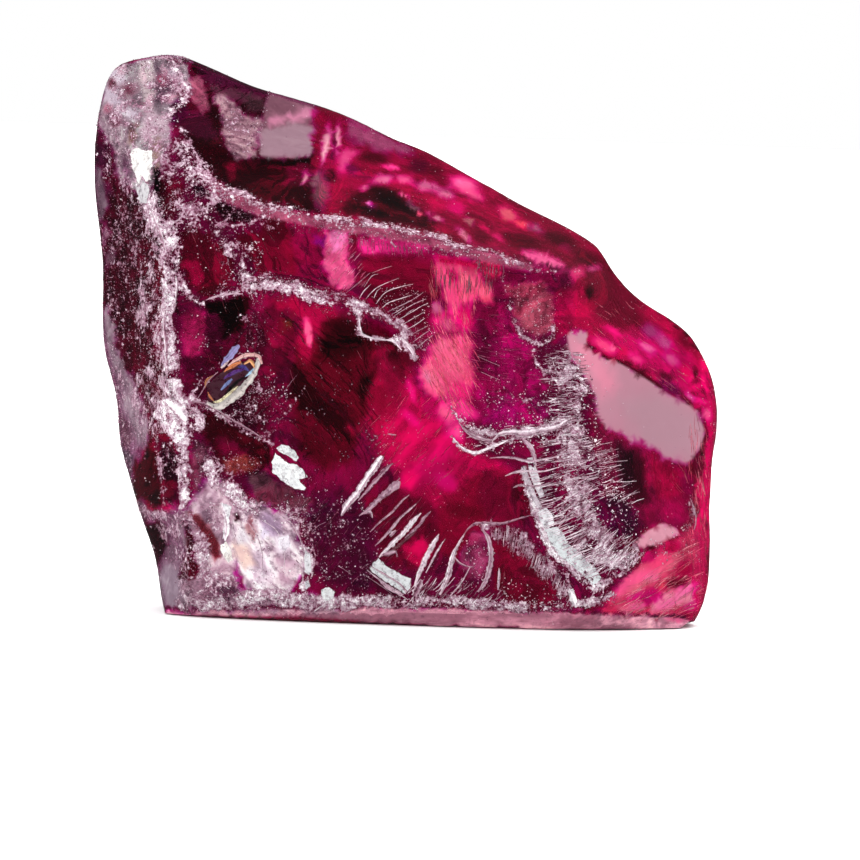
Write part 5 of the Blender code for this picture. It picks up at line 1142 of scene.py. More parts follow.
# Fine streaks of painted light and shade: turn, outline, count, (shortest, longest), width, direction in
# degrees and their colours
SIDE_STREAKS = {
    "back_glow": (180, ((500, 300), (600, 310), (600, 480), (500, 500)), 170, (10, 30), 1.8, -62,
        ((236, 90, 120), (190, 20, 66), (150, 8, 44))),
    "back_upper": (180, ((480, 170), (700, 100), (770, 120), (760, 300), (600, 290), (540, 210)), 260,
        (10, 28), 1.7, 38, ((226, 84, 120), (160, 14, 54), (110, 8, 36), (238, 140, 160))),
    "back_dark": (180, ((300, 250), (470, 180), (480, 300), (340, 350)), 130, (10, 26), 1.4, 20,
        ((130, 14, 44), (74, 6, 26), (176, 40, 84))),
    "back_hollow": (180, ((352, 398), (470, 505), (452, 612), (312, 606), (330, 480)), 130, (8, 24),
        1.4, 62, ((130, 14, 44), (74, 6, 26), (176, 40, 84))),
    "back_left": (180, ((160, 440), (300, 430), (280, 600), (160, 610)), 150, (8, 24), 1.7, 70,
        ((226, 70, 110), (160, 12, 50), (120, 8, 36))),
    "back_right": (180, ((600, 480), (740, 330), (690, 610), (560, 600)), 170, (8, 26), 1.6, 60,
        ((216, 56, 96), (150, 10, 46), (110, 8, 34), (236, 120, 146))),
    "right_lower": (90, ((440, 470), (540, 430), (560, 600), (400, 610)), 110, (8, 24), 1.6, 78,
        ((216, 56, 96), (150, 10, 46), (110, 8, 34))),
    "left_back": (270, ((190, 300), (300, 130), (330, 600), (220, 610)), 170, (10, 30), 1.6, 75,
        ((226, 84, 120), (160, 14, 54), (110, 8, 36))),
}


# ---------------------------------------------------------------------------------------------------
# Lines, outlines and lines of sight
# ---------------------------------------------------------------------------------------------------
def in_row(place):
    """A place in the stone's millimetres, in the row's metres."""
    return Vector((np.asarray(place, float) + STONE_ORIGIN) * MM)


def direction(angle):
    """The direction of an angle in degrees, in the picture."""
    turn = math.radians(angle)
    return np.array((math.cos(turn), math.sin(turn)))


def left_of(way):
    """The direction a quarter turn on from a way in the picture."""
    return np.array((-way[1], way[0]))


def camera_axes(turn=0):
    """The camera's place and its right, up and forward directions before it rolls, in the stone's millimetres.

    A turn in degrees walks it round the stone: 90 looks at the right side and 180 at the back.
    """
    lean, turn = math.radians(CAMERA_ELEVATION), math.radians(turn)
    right = np.array((math.cos(turn), math.sin(turn), 0.0))
    away = np.array((-math.sin(turn), math.cos(turn), 0.0))
    forward = away * math.cos(lean) - np.array((0.0, 0.0, math.sin(lean)))
    up = away * math.sin(lean) + np.array((0.0, 0.0, math.cos(lean)))
    return CAMERA_AIM - forward * CAMERA_DISTANCE, right, up, forward


def seen_from(places, turn=0):
    """The pixels where the camera sees these places of the stone."""
    eye, right, up, forward = camera_axes(turn)
    roll = math.radians(CAMERA_ROLL)
    rays = places - eye
    scale = PIXELS_PER_MM * CAMERA_DISTANCE / (rays @ forward)
    across, above = (rays @ right) * scale, (rays @ up) * scale
    u = across * math.cos(roll) + above * math.sin(roll)
    v = above * math.cos(roll) - across * math.sin(roll)
    return np.column_stack([PICTURE_SIDE / 2 + u, PICTURE_SIDE / 2 - v])


class Surface:
    """The stone's surface, to find the place that a pixel of the front, or of a side, shows."""

    def __init__(self, mesh):
        places = vertex_places(mesh)
        self.tree = BVHTree.FromPolygons(places.tolist(), [tuple(p.vertices) for p in mesh.polygons])
        self.roll = math.radians(CAMERA_ROLL)
        self.look(0)

    def look(self, turn):
        """Looks from the front, or from a side with the camera turned by so many degrees."""
        self.eye, self.right, self.up, self.forward = camera_axes(turn)

    def turned(self, table):
        """Each row of a table of the sides, while the surface is seen from that row's side."""
        for turn, *row in table.values():
            self.look(turn)
            yield row
        self.look(0)

    def under(self, pixel):
        """The place and the outward direction of the surface at a pixel, or None beside the stone."""
        u, v = pixel[0] - PICTURE_SIDE / 2, PICTURE_SIDE / 2 - pixel[1]
        across = (u * math.cos(self.roll) - v * math.sin(self.roll)) / PIXELS_PER_MM
        above = (u * math.sin(self.roll) + v * math.cos(self.roll)) / PIXELS_PER_MM
        ray = self.forward * CAMERA_DISTANCE + self.right * across + self.up * above
        place, normal, _, _ = self.tree.ray_cast(Vector(self.eye), Vector(ray).normalized())
        if place is None:
            return None
        return np.array(place), np.array(normal)


def smooth_line(points, step):
    """Points of a Catmull-Rom curve through these points, about a step apart."""
    pts = np.array(points, float)
    pts = np.vstack([2 * pts[0] - pts[1], pts, 2 * pts[-1] - pts[-2]])
    line = []
    for a, b, c, d in zip(pts, pts[1:], pts[2:], pts[3:]):
        pieces = max(1, round(np.linalg.norm((c - b)[:2]) / step))
        for t in np.arange(pieces) / pieces:
            bend = (2 * a - 5 * b + 4 * c - d) * t * t + (3 * b - a - 3 * c + d) * t**3
            line.append(0.5 * (2 * b + (c - a) * t + bend))
    line.append(pts[-2])
    return np.array(line)


def nearest_on_line(places, line):
    """How far each place is from the line, and how far along the line its nearest point is, from 0 to 1."""
    nearest = np.full(len(places), np.inf)
    share = np.zeros(len(places))
    for i, (a, b) in enumerate(zip(line, line[1:])):
        along = b - a
        t = np.clip((places - a) @ along / max(along @ along, TINY), 0.0, 1.0)
        away = np.linalg.norm(places - a - t[:, None] * along, axis=1)
        closer = away < nearest
        nearest = np.where(closer, away, nearest)
        share = np.where(closer, (i + t) / (len(line) - 1), share)
    return nearest, share


def distance_into(places, outline):
    """How far inside the outline each place is, and how far outside as a negative number."""
    loop = np.array(outline, float)
    after = np.roll(loop, -1, axis=0)
    x, y = places[:, :1], places[:, 1:2]
    crosses = (loop[:, 1] > y) != (after[:, 1] > y)
    rise = np.where(after[:, 1] == loop[:, 1], 1.0, after[:, 1] - loop[:, 1])
    left = x < (after[:, 0] - loop[:, 0]) * (y - loop[:, 1]) / rise + loop[:, 0]
    within = (crosses & left).sum(axis=1) % 2 == 1
    away, _ = nearest_on_line(places, np.vstack([loop, loop[:1]]))
    return np.where(within, away, -away)


def is_inside(spot, outline):
    return distance_into(spot[None, :], outline)[0] > 0


def smoothstep(low, high, value):
    t = np.clip((value - low) / (high - low), 0.0, 1.0)
    return t * t * (3 - 2 * t)


def wavering(places, size, seed):
    """A smooth number from about -1 to 1 for each place, the same each run."""
    return np.array([noise.noise(Vector((x / size + seed, y / size, z / size))) for x, y, z in places.tolist()])


def jitter(places, size, seeds):
    """A wavering number of its own for each seed."""
    return np.column_stack([wavering(places, size, seed) for seed in seeds])


def wave(places, *waves):
    """The sum of waverings: each has a reach, a size and a seed."""
    return sum(reach * wavering(places, size, seed) for reach, size, seed in waves)


def near(places, points, margin):
    """Which places lie in the box around these points, widened by a margin."""
    box = np.array([p[:2] for p in points], float)
    low, high = box.min(axis=0) - margin, box.max(axis=0) + margin
    return np.all((places > low) & (places < high), axis=1)


# ---------------------------------------------------------------------------------------------------
# The stone
# ---------------------------------------------------------------------------------------------------
def linked(name, data):
    """A new object of the scene."""
    piece = bpy.data.objects.new(name, data)
    bpy.context.scene.collection.objects.link(piece)
    return piece


def subdivided(node):
    """A finer copy of the solid with its ridges kept crisp, and points along those ridges."""
    bm = bmesh.new()
    bm.from_mesh(node.data)
    bmesh.ops.remove_doubles(bm, verts=bm.verts, dist=WELD)
    crease = bm.edges.layers.float.new("crease_edge")
    ridge_points = []
    for e in bm.edges:
        angle = math.degrees(e.calc_face_angle()) if len(e.link_faces) == 2 else 0.0
        if angle <= RIDGE_ANGLE:
            continue
        e[crease] = RIDGE_CREASE
        a, b = (np.array(v.co) / MM - STONE_ORIGIN for v in e.verts)
        turn = float(smoothstep(*WORN_ANGLES, angle))
        ridge_points += [(a * (1 - t) + b * t, turn) for t in RIDGE_POINTS]
    mesh = bpy.data.meshes.new("garnet_stone")
    bm.to_mesh(mesh)
    bm.free()
    piece = linked("garnet_stone", mesh)
    subdivide = piece.modifiers.new("smooth", "SUBSURF")
    subdivide.levels = subdivide.render_levels = LEVELS
    bpy.context.view_layer.update()
    smooth = bpy.data.meshes.new_from_object(piece.evaluated_get(bpy.context.evaluated_depsgraph_get()))
    piece.modifiers.clear()
    piece.data = smooth
    return piece, ridge_points


def vertex_places(mesh):
    """The mesh's points in the stone's millimetres."""
    co = np.zeros(len(mesh.vertices) * 3, np.float32)
    mesh.vertices.foreach_get("co", co)
    return co.reshape(-1, 3).astype(float) / MM - STONE_ORIGIN


def vertex_normals(mesh):
    normals = np.zeros(len(mesh.vertices) * 3, np.float32)
    mesh.vertex_normals.foreach_get("vector", normals)
    return normals.reshape(-1, 3).astype(float)


def linear(colour):
    """A colour as screens show it, 0 to 255, as amounts of light: the sRGB curve."""
    share = np.array(colour, float) / 255
    return np.where(share <= 0.04045, share / 12.92, ((share + 0.055) / 1.055) ** 2.4)


def zone_tint(colour, cloud):
    """The tint that makes a zone look this colour.

    Clear stone filters the light from behind twice, and cloudy stone scatters the light from the front.
    """
    wanted = np.maximum(linear(colour) - VEIL, 0.0)
    wanted[2] = max(wanted[2], LEAST_BLUE * wanted[0])
    clear = np.clip(wanted / CLEAR_FILTER, LEAST_TINT, 1.0) ** CLEAR_POWER
    clear = np.minimum(clear, clear[0] * CLEAR_MOST)
    cloudy = np.clip(wanted * CLOUD_GAIN, LEAST_TINT, 1.0)
    return clear ** (1 - cloud) * cloudy**cloud


def facing_camera(places, normals, turn=0, span=FACING_SPAN):
    """How much each place faces the camera, or the camera turned to a side, from 0 to 1."""
    towards = camera_axes(turn)[0] - places
    towards /= np.linalg.norm(towards, axis=1)[:, None]
    return smoothstep(*span, (normals * towards).sum(axis=1))


def shard_tones(places, size, seed):
    """The tint and the cloud of the hidden faces: long shards of painted light and shade, as refraction through
    broken stone shows.
    """
    at = places
    for reach, wave_size, seeds in SHARD_WAVERS:
        at = at + reach * jitter(places, wave_size, [seed + k for k in seeds])
    at = at * SHARD_SHAPE / size
    at[:, 0] += SHARD_SLANT * at[:, 2]
    steps = np.array([step for step, _, _ in SHARD_TONES.values()])
    tints = np.array([(*np.log(zone_tint(colour, cloud)), cloud) for _, colour, cloud in SHARD_TONES.values()])
    tones = np.zeros((len(places), 4))
    for i, place in enumerate(at.tolist()):
        aways, cells = noise.voronoi(Vector((place[0] + seed, place[1], place[2])))
        mixed = 0.5 + 0.5 * min(1.0, (aways[1] - aways[0]) / SHARD_EDGE)
        for cell, share in ((cells[0], mixed), (cells[1], 1 - mixed)):
            pick = 0.5 + 0.5 * math.sin(sum(c * k for c, k in zip(cell, CELL_HASH)))
            tones[i] += share * np.array([np.interp(pick, steps, channel) for channel in tints.T])
    return tones


def spot_mark(seen, u, v, reach, width, angle, colour):
    """Where a soft spot lies, how strongly it shows there, and its colour."""
    close = near(seen, [(u, v)], SPOT_MARGIN * max(reach, width))
    away = seen[close] - (u, v)
    along = away @ direction(angle) / reach
    across = away @ left_of(direction(angle)) / width
    return close, smoothstep(*SPOT_EDGE, np.hypot(along, across)), colour


def stroke_mark(seen, line, width, colour):
    """Where a stroke lies, how strongly it shows there, and its colour."""
    close = near(seen, line, width)
    away, _ = nearest_on_line(seen[close], smooth_line(line, LINE_STEP))
    return close, smoothstep(*STROKE_EDGE, away / width), colour


class Paint:
    """The tint, cloud, mottling and frost of every point of the stone; its tint and mottling hold painted light
    and shade too.
    """

    def __init__(self, mesh, ridge_points):
        self.places, self.normals = vertex_places(mesh), vertex_normals(mesh)
        self.seen = seen_from(self.places)
        self.front = facing_camera(self.places, self.normals)
        self.sway = jitter(self.places, *SWAY)
        self.fine = jitter(self.places, *FINE)
        edge_on = self.front * (1 - facing_camera(self.places, self.normals, 0, EDGE_ON_SPAN))
        self.swayed = self.wavered(self.seen, ZONE_WAVER)
        self.swayed[:, 1] += edge_on * wave(self.places, *EDGE_ON_WAVES)
        shards = [(share, shard_tones(self.places, size, seed)) for share, size, seed in SHARD_LAYERS]
        tones = sum(share * tone for share, tone in shards)
        self.log_tint, self.cloud = tones[:, :3], tones[:, 3]
        self.mottling = np.full(len(self.places), PLAIN_MOTTLING)
        for turn, zones in SIDE_ZONES.items():
            beside = seen_from(self.places, turn)
            shown = facing_camera(self.places, self.normals, turn) * (1 - self.front)
            self.lay_zones(zones, beside, self.wavered(beside, SIDE_WAVER), shown)
        self.lay_zones(ZONES, self.seen, self.swayed, self.front * (1 - EDGE_ON_SHARDS * edge_on))
        self.lay_marks()
        self.frost = np.zeros(len(self.places))
        self.lay_frost()
        self.wear_ridges(ridge_points)

    def wavered(self, pixels, waver, part=slice(None)):
        """Pixels pushed about, so that what is painted by them gets an uneven edge."""
        return pixels[part] + waver[0] * self.sway[part] + waver[1] * self.fine[part]

    def lay(self, close, share, colour, cloudy, mottled):
        """Lays a colour over the places that are close, by each one's share."""
        tint = np.log(zone_tint(colour, cloudy))
        self.log_tint[close] = self.log_tint[close] * (1 - share[:, None]) + tint * share[:, None]
        self.cloud[close] = self.cloud[close] * (1 - share) + cloudy * share
        self.mottling[close] = self.mottling[close] * (1 - share) + mottled * share

    def lay_zones(self, zones, straight, wavy, shown):
        """Lays each zone's colour by its outline: crisp ones nearly straight, soft ones wavy."""
        for outline, colour, soft, cloudy, mottled in zones.values():
            close = near(wavy, outline, soft + 1)
            part = wavy[close] if soft > CRISP else self.wavered(straight, CRISP_WAVER, close)
            share = smoothstep(-soft, soft, distance_into(part, outline)) * shown[close]
            self.lay(close, share, colour, cloudy, mottled)

    def lay_marks(self):
        """Lays the front's soft spots of painted light and shade, and its painted strokes, the lighter the
        cloudier.
        """
        seen = self.wavered(self.seen, SPOT_WAVER)
        marks = [spot_mark(seen, *spot) for group in SPOTS.values() for spot in group.values()]
        marks += [stroke_mark(seen, *stroke) for stroke in STROKES.values()]
        for close, share, colour in marks:
            cloudy = float(smoothstep(*SPOT_CLOUD_SPAN, linear(colour)[0])) * SPOT_CLOUD
            self.lay(close, share * self.front[close], colour, cloudy, SPOT_MOTTLING * self.mottling[close])

    def frosted(self, close, laid):
        """Lays frost over the places that are close, where there isn't more already."""
        self.frost[close] = np.maximum(self.frost[close], laid * self.front[close])

    def lay_frost(self):
        """Frost along the lines and over the patches of the front, with windows left open in it."""
        for line, start, end, strength in FROST_LINES.values():
            close = near(self.swayed, line, max(start, end))
            part = self.wavered(self.seen, FROST_WAVER, close)
            away, along = nearest_on_line(part, smooth_line(line, LINE_STEP))
            width = start + (end - start) * along
            self.frosted(close, strength * smoothstep(*FROST_EDGE, away / width))
        for outline, strength, soft in FROST_PATCHES.values():
            close = near(self.swayed, outline, soft + 1)
            self.frosted(close, strength * smoothstep(-soft, soft, distance_into(self.swayed[close], outline)))
        self.frost *= FROST_BASE + FROST_GAIN * smoothstep(*FROST_SPAN, wave(self.places, FROST_WAVE))
        for outline in FROST_HOLES.values():
            close = near(self.seen, outline, HOLE_MARGIN)
            part = self.wavered(self.seen, HOLE_WAVER, close)
            self.frost[close] *= 1 - smoothstep(*HOLE_EDGE, distance_into(part, outline)) * self.front[close]

    def wear_ridges(self, ridge_points):
        """Frost along the ridges that the front doesn't show, uneven in width and strength."""
        tree = kdtree.KDTree(len(ridge_points))
        for i, (place, _) in enumerate(ridge_points):
            tree.insert(place, i)
        tree.balance()
        worn = wave(self.places, WORN_WAVE)
        wear = np.clip(WORN_BASE + WORN_GAIN * worn, *WORN_RANGE)
        for i in np.flatnonzero(self.front < FRONT):
            shift = np.array((*self.sway[i], self.fine[i, 0]))
            _, ridge, away = tree.find(self.places[i] + BACK_FROST_SHIFT * shift)
            width = BACK_FROST_WIDTH * ridge_points[ridge][1] * wear[i]
            width *= 1 + WIDTH_SWAY * self.sway[i, 0] + WIDTH_FINE * self.fine[i, 1]
            edge = smoothstep(*EDGE_FADE, away / max(width, BACK_FROST_LEAST))
            edge *= EDGE_BASE + EDGE_GAIN * smoothstep(*EDGE_SPAN, worn[i])
            halo = HALO * smoothstep(*HALO_FADE, away / max(HALO_WIDTH * width, HALO_LEAST))
            self.frost[i] = max(self.frost[i], max(edge, halo) * (1 - self.front[i]))

    def flowing(self):
        """Coordinates for the mottling, drawn out along the fracture's streaks where FLOWS says so."""
        flow = self.places.copy()
        shown = self.front > 0.5
        for outline, angle, stretch in FLOWS.values():
            inside = shown & near(self.seen, outline, 1)
            inside[inside] = distance_into(self.seen[inside], outline) > 0
            along = self.seen[inside] @ direction(angle) / PIXELS_PER_MM
            across = self.seen[inside] @ left_of(direction(angle)) / PIXELS_PER_MM
            flow[inside] = np.column_stack([along / stretch, across, self.places[inside, 1]])
        return flow

    def put_on(self, mesh):
        """Lays the paint on the stone as attributes of its points."""
        flow = mesh.attributes.new("flow", "FLOAT_VECTOR", "POINT")
        flow.data.foreach_set("vector", self.flowing().astype(np.float32).ravel())
        tint = np.exp(np.clip(self.log_tint, LEAST_LOG_TINT, 0))
        cloud = CLOUD_LEAST + (1 - CLOUD_LEAST) * self.cloud
        colours = mesh.color_attributes.new("tint", "FLOAT_COLOR", "POINT")
        colours.data.foreach_set("color", np.column_stack([tint, cloud]).astype(np.float32).ravel())
        for name, values in (("frost", self.frost), ("mottling", self.mottling)):
            layer = mesh.attributes.new(name, "FLOAT", "POINT")
            layer.data.foreach_set("value", values.astype(np.float32))


def roughen(mesh, frost):
    """Small pits and crumbs along the frosted ridges, and ripples on the hidden breaks, as real relief."""
    places, normals = vertex_places(mesh), vertex_normals(mesh)
    rise = frost * wave(places, *RELIEF_WAVES) * FROST_RELIEF
    front = facing_camera(places, normals)
    for turn, middle, angles, reach, length, height in RIPPLES.values():
        away = seen_from(places, turn) - middle
        far = np.hypot(*away.T)
        turned = (np.degrees(np.arctan2(away[:, 1], away[:, 0])) - angles[0]) % 360
        wide = (angles[1] - angles[0]) % 360
        inside = smoothstep(0, RIPPLE_FADE, np.minimum(turned, wide - turned))
        inside *= smoothstep(0, RIPPLE_FADE, np.minimum(far - reach[0], reach[1] - far))
        inside *= facing_camera(places, normals, turn) * (1 - front)
        rise += height * inside * np.sin(far * math.tau / length + wave(places, RIPPLE_WAVE))
    places += normals * rise[:, None]
    places[:, 2] = np.maximum(places[:, 2], 0.0)
    mesh.vertices.foreach_set("co", ((places + STONE_ORIGIN) * MM).astype(np.float32).ravel())
    mesh.update()


# ---------------------------------------------------------------------------------------------------
# Splinters, chips and crumbs on the stone
# ---------------------------------------------------------------------------------------------------
def tapered(line, width):
    """A line of places and widths that is half as wide at its ends."""
    return [(u, v, width * (0.5 if i in (0, len(line) - 1) else 1.0)) for i, (u, v) in enumerate(line)]


class Splinters:
    """Many small closed shapes that sit in the stone's surface, gathered into one mesh."""

    def __init__(self, surface, seed):
        self.surface = surface
        self.dice = random.Random(seed)
        self.points = []
        self.faces = []
        self.tones = []

    def lifted(self, pixel, height):
        """The place above the surface at a pixel, or None where the pixel misses the stone."""
        hit = self.surface.under(pixel)
        if hit is None:
            return None
        place, normal = hit
        return place + normal * height

    def add(self, points, faces, tone, uneven, stripes=(0.0,)):
        """Adds a shape. Its tone is a colour or a shade from wine (0) to white (1), changed by its stripes."""
        start = len(self.points)
        self.points += points
        self.faces += [[start + i for i in face] for face in faces]
        for i in range(len(points)):
            change = stripes[i % len(stripes)] + self.dice.gauss(0.0, uneven)
            if isinstance(tone, tuple):
                self.tones.append((*np.clip(linear(tone) * CHIP_GAIN * (1 + change), 0, 1), CHIP_CLEARNESS))
            else:
                shade = min(1.0, max(0.0, tone + change))
                self.tones.append([np.interp(shade, SHADE_STEPS, channel) for channel in zip(*SHADE_TONES)])

    def blade(self, line, shade, cut=BLADE_CUT):
        """A splinter along a line of places and widths: its rim lies in the stone, its spine stands out."""
        tall, ragged, step, shape = cut
        line = smooth_line(line, step)
        rings = []
        for i, (u, v, width) in enumerate(line):
            before, after = line[max(i - 1, 0)], line[min(i + 1, len(line) - 1)]
            along = np.array((after[0] - before[0], after[1] - before[1]))
            across = left_of(along) / max(np.linalg.norm(along), TINY)
            half = max(width, RIBBON_LEAST) / 2
            left = half * (1 + self.dice.uniform(-ragged, ragged))
            right = half * (1 + self.dice.uniform(-ragged, ragged))
            rise = BLADE_HEIGHT * tall * (0.5 + 0.5 * min(1.0, half / 2)) * self.dice.uniform(*RIBBON_LIFT)
            spots = [(left, -SUNK)]
            spots += [(share * (left if share > 0 else right), rise * lift) for share, lift in shape]
            spots += [(-right, -SUNK), (0.0, -2 * SUNK)]
            ring = [self.lifted((u + across[0] * s, v + across[1] * s), h) for s, h in spots]
            if all(p is not None for p in ring):
                rings.append(ring)
        if len(rings) < 2:
            return
        sides = len(rings[0])
        points = [p for ring in rings for p in ring]
        faces = [list(range(sides))[::-1], [len(points) - sides + i for i in range(sides)]]
        for start in range(0, len(points) - sides, sides):
            for s in range(sides):
                a, b = start + s, start + (s + 1) % sides
                faces.append([a, b, b + sides, a + sides])
        stripes = [self.dice.uniform(*STRIPES) for _ in range(sides)]
        self.add(points, faces, shade, RIBBON_UNEVEN, stripes)

    def chip(self, outline, shade, height=CHIP_HEIGHT, ragged=CHIP_RAGGED):
        """A bright flat chip inside an outline, slightly domed, with a ragged edge."""
        rim = []
        for a, b in zip(outline, outline[1:] + outline[:1]):
            pieces = max(1, round(math.dist(a, b) / CHIP_STEP))
            across, down = b[0] - a[0], b[1] - a[1]
            rim += [(a[0] + across * i / pieces, a[1] + down * i / pieces) for i in range(pieces)]
        rim = [(u + self.dice.gauss(0, ragged), v + self.dice.gauss(0, ragged)) for u, v in rim]
        middle = (sum(u for u, _ in rim) / len(rim), sum(v for _, v in rim) / len(rim))
        points = []
        for share, rise in CHIP_RINGS:
            for u, v in rim:
                spot = (middle[0] + (u - middle[0]) * share, middle[1] + (v - middle[1]) * share)
                points.append(self.lifted(spot, rise * height))
        if any(p is None for p in points):
            return
        count, last = len(rim), (len(CHIP_RINGS) - 1) * len(rim)
        top, bottom = len(points), len(points) + 1
        points += [self.lifted(middle, CHIP_TOP * height), self.lifted(middle, -3 * SUNK)]
        faces = []
        for i in range(count):
            j = (i + 1) % count
            faces += [[r + i, r + j, r + count + j, r + count + i] for r in range(0, last, count)]
            faces += [[last + i, last + j, top], [j, i, bottom]]
        self.add(points, faces, shade, CHIP_UNEVEN)

    def ladder(self, near_line, far_line, count, width, shade):
        """Short ribs from one line to the other, uneven as hackles are."""
        starts, ends = smooth_line(near_line, 1.0), smooth_line(far_line, 1.0)
        for i in range(count):
            share = (i + 0.5 + self.dice.uniform(-RUNG_SCATTER, RUNG_SCATTER)) / count
            share = min(1.0, max(0.0, share))
            a = starts[round(share * (len(starts) - 1))]
            b = ends[round(share * (len(ends) - 1))]
            low, high = self.dice.uniform(*RUNG_START), self.dice.uniform(*RUNG_END)
            a, b = a + (b - a) * low, a + (b - a) * high
            bend = (a + b) / 2 + np.array((self.dice.uniform(-1, 1), self.dice.uniform(-1, 1))) * RUNG_BEND
            thick = width * self.dice.uniform(*RUNG_THICKNESS)
            line = [(*a, RUNG_NEAR_END * thick), (*bend, thick), (*b, RUNG_FAR_END * thick)]
            tone = shade if isinstance(shade, tuple) else shade + self.dice.uniform(-RUNG_SHADES, RUNG_SHADES)
            self.blade(line, tone, RUNG_CUT)

    def crumb(self, place, normal, size, shade):
        """One angular crumb of broken stone on the surface."""
        side = np.cross(normal, (self.dice.gauss(0, 1), self.dice.gauss(0, 1), self.dice.gauss(0, 1)))
        side /= max(np.linalg.norm(side), TINY)
        other = np.cross(normal, side)
        points = []
        turn = self.dice.uniform(0, math.tau)
        for k in range(3):
            reach = size * self.dice.uniform(*CRUMB_RIM)
            angle = turn + k * math.tau / 3 + self.dice.uniform(-CRUMB_SKEW, CRUMB_SKEW)
            out = (side * math.cos(angle) + other * math.sin(angle)) * reach
            points.append(place + out - normal * size * CRUMB_SUNK)
        tip = side * self.dice.uniform(-CRUMB_TIP, CRUMB_TIP)
        tip = (tip + other * self.dice.uniform(-CRUMB_TIP, CRUMB_TIP)) * size
        points.append(place + tip + normal * size * self.dice.uniform(*CRUMB_RISE))
        self.add(points, [[2, 1, 0], [0, 1, 3], [1, 2, 3], [2, 0, 3]], shade, 0.0)

    def spot_in(self, outline):
        """A random pixel inside an outline."""
        corners = np.array(outline, float)
        low, high = corners.min(axis=0), corners.max(axis=0)
        while True:
            spot = np.array([self.dice.uniform(low[0], high[0]), self.dice.uniform(low[1], high[1])])
            if is_inside(spot, outline):
                return spot

    def rib(self, spot, angle, lengths, width, kind):
        """A slightly bent line of places and widths about a spot."""
        scatter, bow, thickness, end = kind
        way = direction(angle + self.dice.gauss(0, scatter))
        reach = way * self.dice.uniform(*lengths) / 2
        side = left_of(reach) * self.dice.uniform(-bow, bow)
        thick = width * self.dice.uniform(*thickness)
        return [(*(spot - reach), end), (*(spot + side), thick), (*(spot + reach), end)]

    def web(self, outline, count, lengths, width):
        """Fine ribs across an outline, turning with the fracture front."""
        for _ in range(count):
            spot = self.spot_in(outline)
            if any(is_inside(spot, hole) for hole in FROST_HOLES.values()):
                continue
            angle = np.interp(spot[1], WEB_HEIGHTS, WEB_DIRECTIONS)
            line = self.rib(spot, angle, lengths, width, WEB_RIB)
            self.blade(line, self.dice.uniform(*WEB_SHADES), WEB_CUT)

    def streaks(self, outline, count, lengths, width, angle, colours):
        """Fine bright and dark streaks inside an outline, all running much the same way."""
        for _ in range(count):
            line = self.rib(self.spot_in(outline), angle, lengths, width, STREAK_RIB)
            self.blade(line, self.dice.choice(colours), STREAK_CUT)

    def fan(self, middle, angles, reach, count, lengths, width, shade):
        """Fine ribs that spread out from a point, as hackles do."""
        for _ in range(count):
            out = direction(self.dice.uniform(*angles))
            start = self.dice.uniform(*reach)
            length = self.dice.uniform(*lengths)
            bow = left_of(out) * length * self.dice.uniform(-FAN_BOW, FAN_BOW)
            thick = width * self.dice.uniform(*FAN_THICKNESS)
            a, b = middle + out * start, middle + out * (start + length)
            line = [(*a, FAN_END), (*(middle + out * (start + length / 2) + bow), thick), (*b, FAN_END)]
            self.blade(line, shade * self.dice.uniform(*FAN_SHADES), FAN_CUT)

    def sprinkle(self, outline, count, sizes, shade):
        """Bright specks on the face inside an outline, some of them in clusters."""
        spot = self.spot_in(outline)
        for _ in range(count):
            if self.dice.random() < SPRINKLE_CLUSTER:
                spot = spot + (self.dice.gauss(0, SPRINKLE_REACH), self.dice.gauss(0, SPRINKLE_REACH))
            else:
                spot = self.spot_in(outline)
            hit = self.surface.under(spot)
            if hit is not None:
                size = self.dice.triangular(sizes[0], sizes[1], sizes[0]) / PIXELS_PER_MM
                self.crumb(*hit, size, shade * self.dice.uniform(*SPRINKLE_SHADES))

    def made(self, name, material):
        """The gathered shapes as one piece that rides on the stone."""
        mesh = bpy.data.meshes.new(name)
        mesh.from_pydata([tuple((np.asarray(p) + STONE_ORIGIN) * MM) for p in self.points], [], self.faces)
        mesh.validate()
        tones = mesh.color_attributes.new("tone", "FLOAT_COLOR", "POINT")
        tones.data.foreach_set("color", np.array(self.tones, np.float32).ravel())
        mesh.materials.append(material)
        mesh.update()
        piece = linked(name, mesh)
        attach(piece, "root")


def make_hackles(surface, material):
    """The splinters, ribs and white chips of the fracture faces, and the lens-shaped crack."""
    splinters = Splinters(surface, HACKLE_SEED)
    for line, shade in BLADES.values():
        splinters.blade(line, shade)
    for line, width, shade in LINES.values():
        splinters.blade(tapered(line, width), shade, LINE_CUT)
    for outline, shade in CHIPS.values():
        splinters.chip(outline, shade)
    for outline, shade in FACETS.values():
        splinters.chip(outline, shade, FACET_HEIGHT, FACET_RAGGED)
    for rungs in LADDERS.values():
        splinters.ladder(*rungs)
    for ribs in WEBS.values():
        splinters.web(*ribs)
    for ribs in surface.turned(FANS):
        splinters.fan(*ribs)
    for rungs in surface.turned(SIDE_LADDERS):
        splinters.ladder(*rungs)
    for outline, shade in surface.turned(SIDE_CHIPS):
        splinters.chip(outline, shade, SIDE_CHIP_HEIGHT)
    for line, width, shade in surface.turned(SIDE_LINES):
        splinters.blade(tapered(line, width), shade, SIDE_LINE_CUT)
    for outline, colour in LENS_BODY.values():
        splinters.chip(outline, colour, LENS_HEIGHT)
    for line, colour in LENS.values():
        splinters.blade(line, colour, LENS_CUT)
    splinters.made("hackle_splinters", material)


def make_streaks(surface, material):
    """Fine streaks of painted light and shade, in the glows and over the darker faces."""
    streaks = Splinters(surface, STREAK_SEED)
    for ribs in STREAKS.values():
        streaks.streaks(*ribs)
    for ribs in surface.turned(SIDE_STREAKS):
        streaks.streaks(*ribs)
    streaks.made("glow_streaks", material)


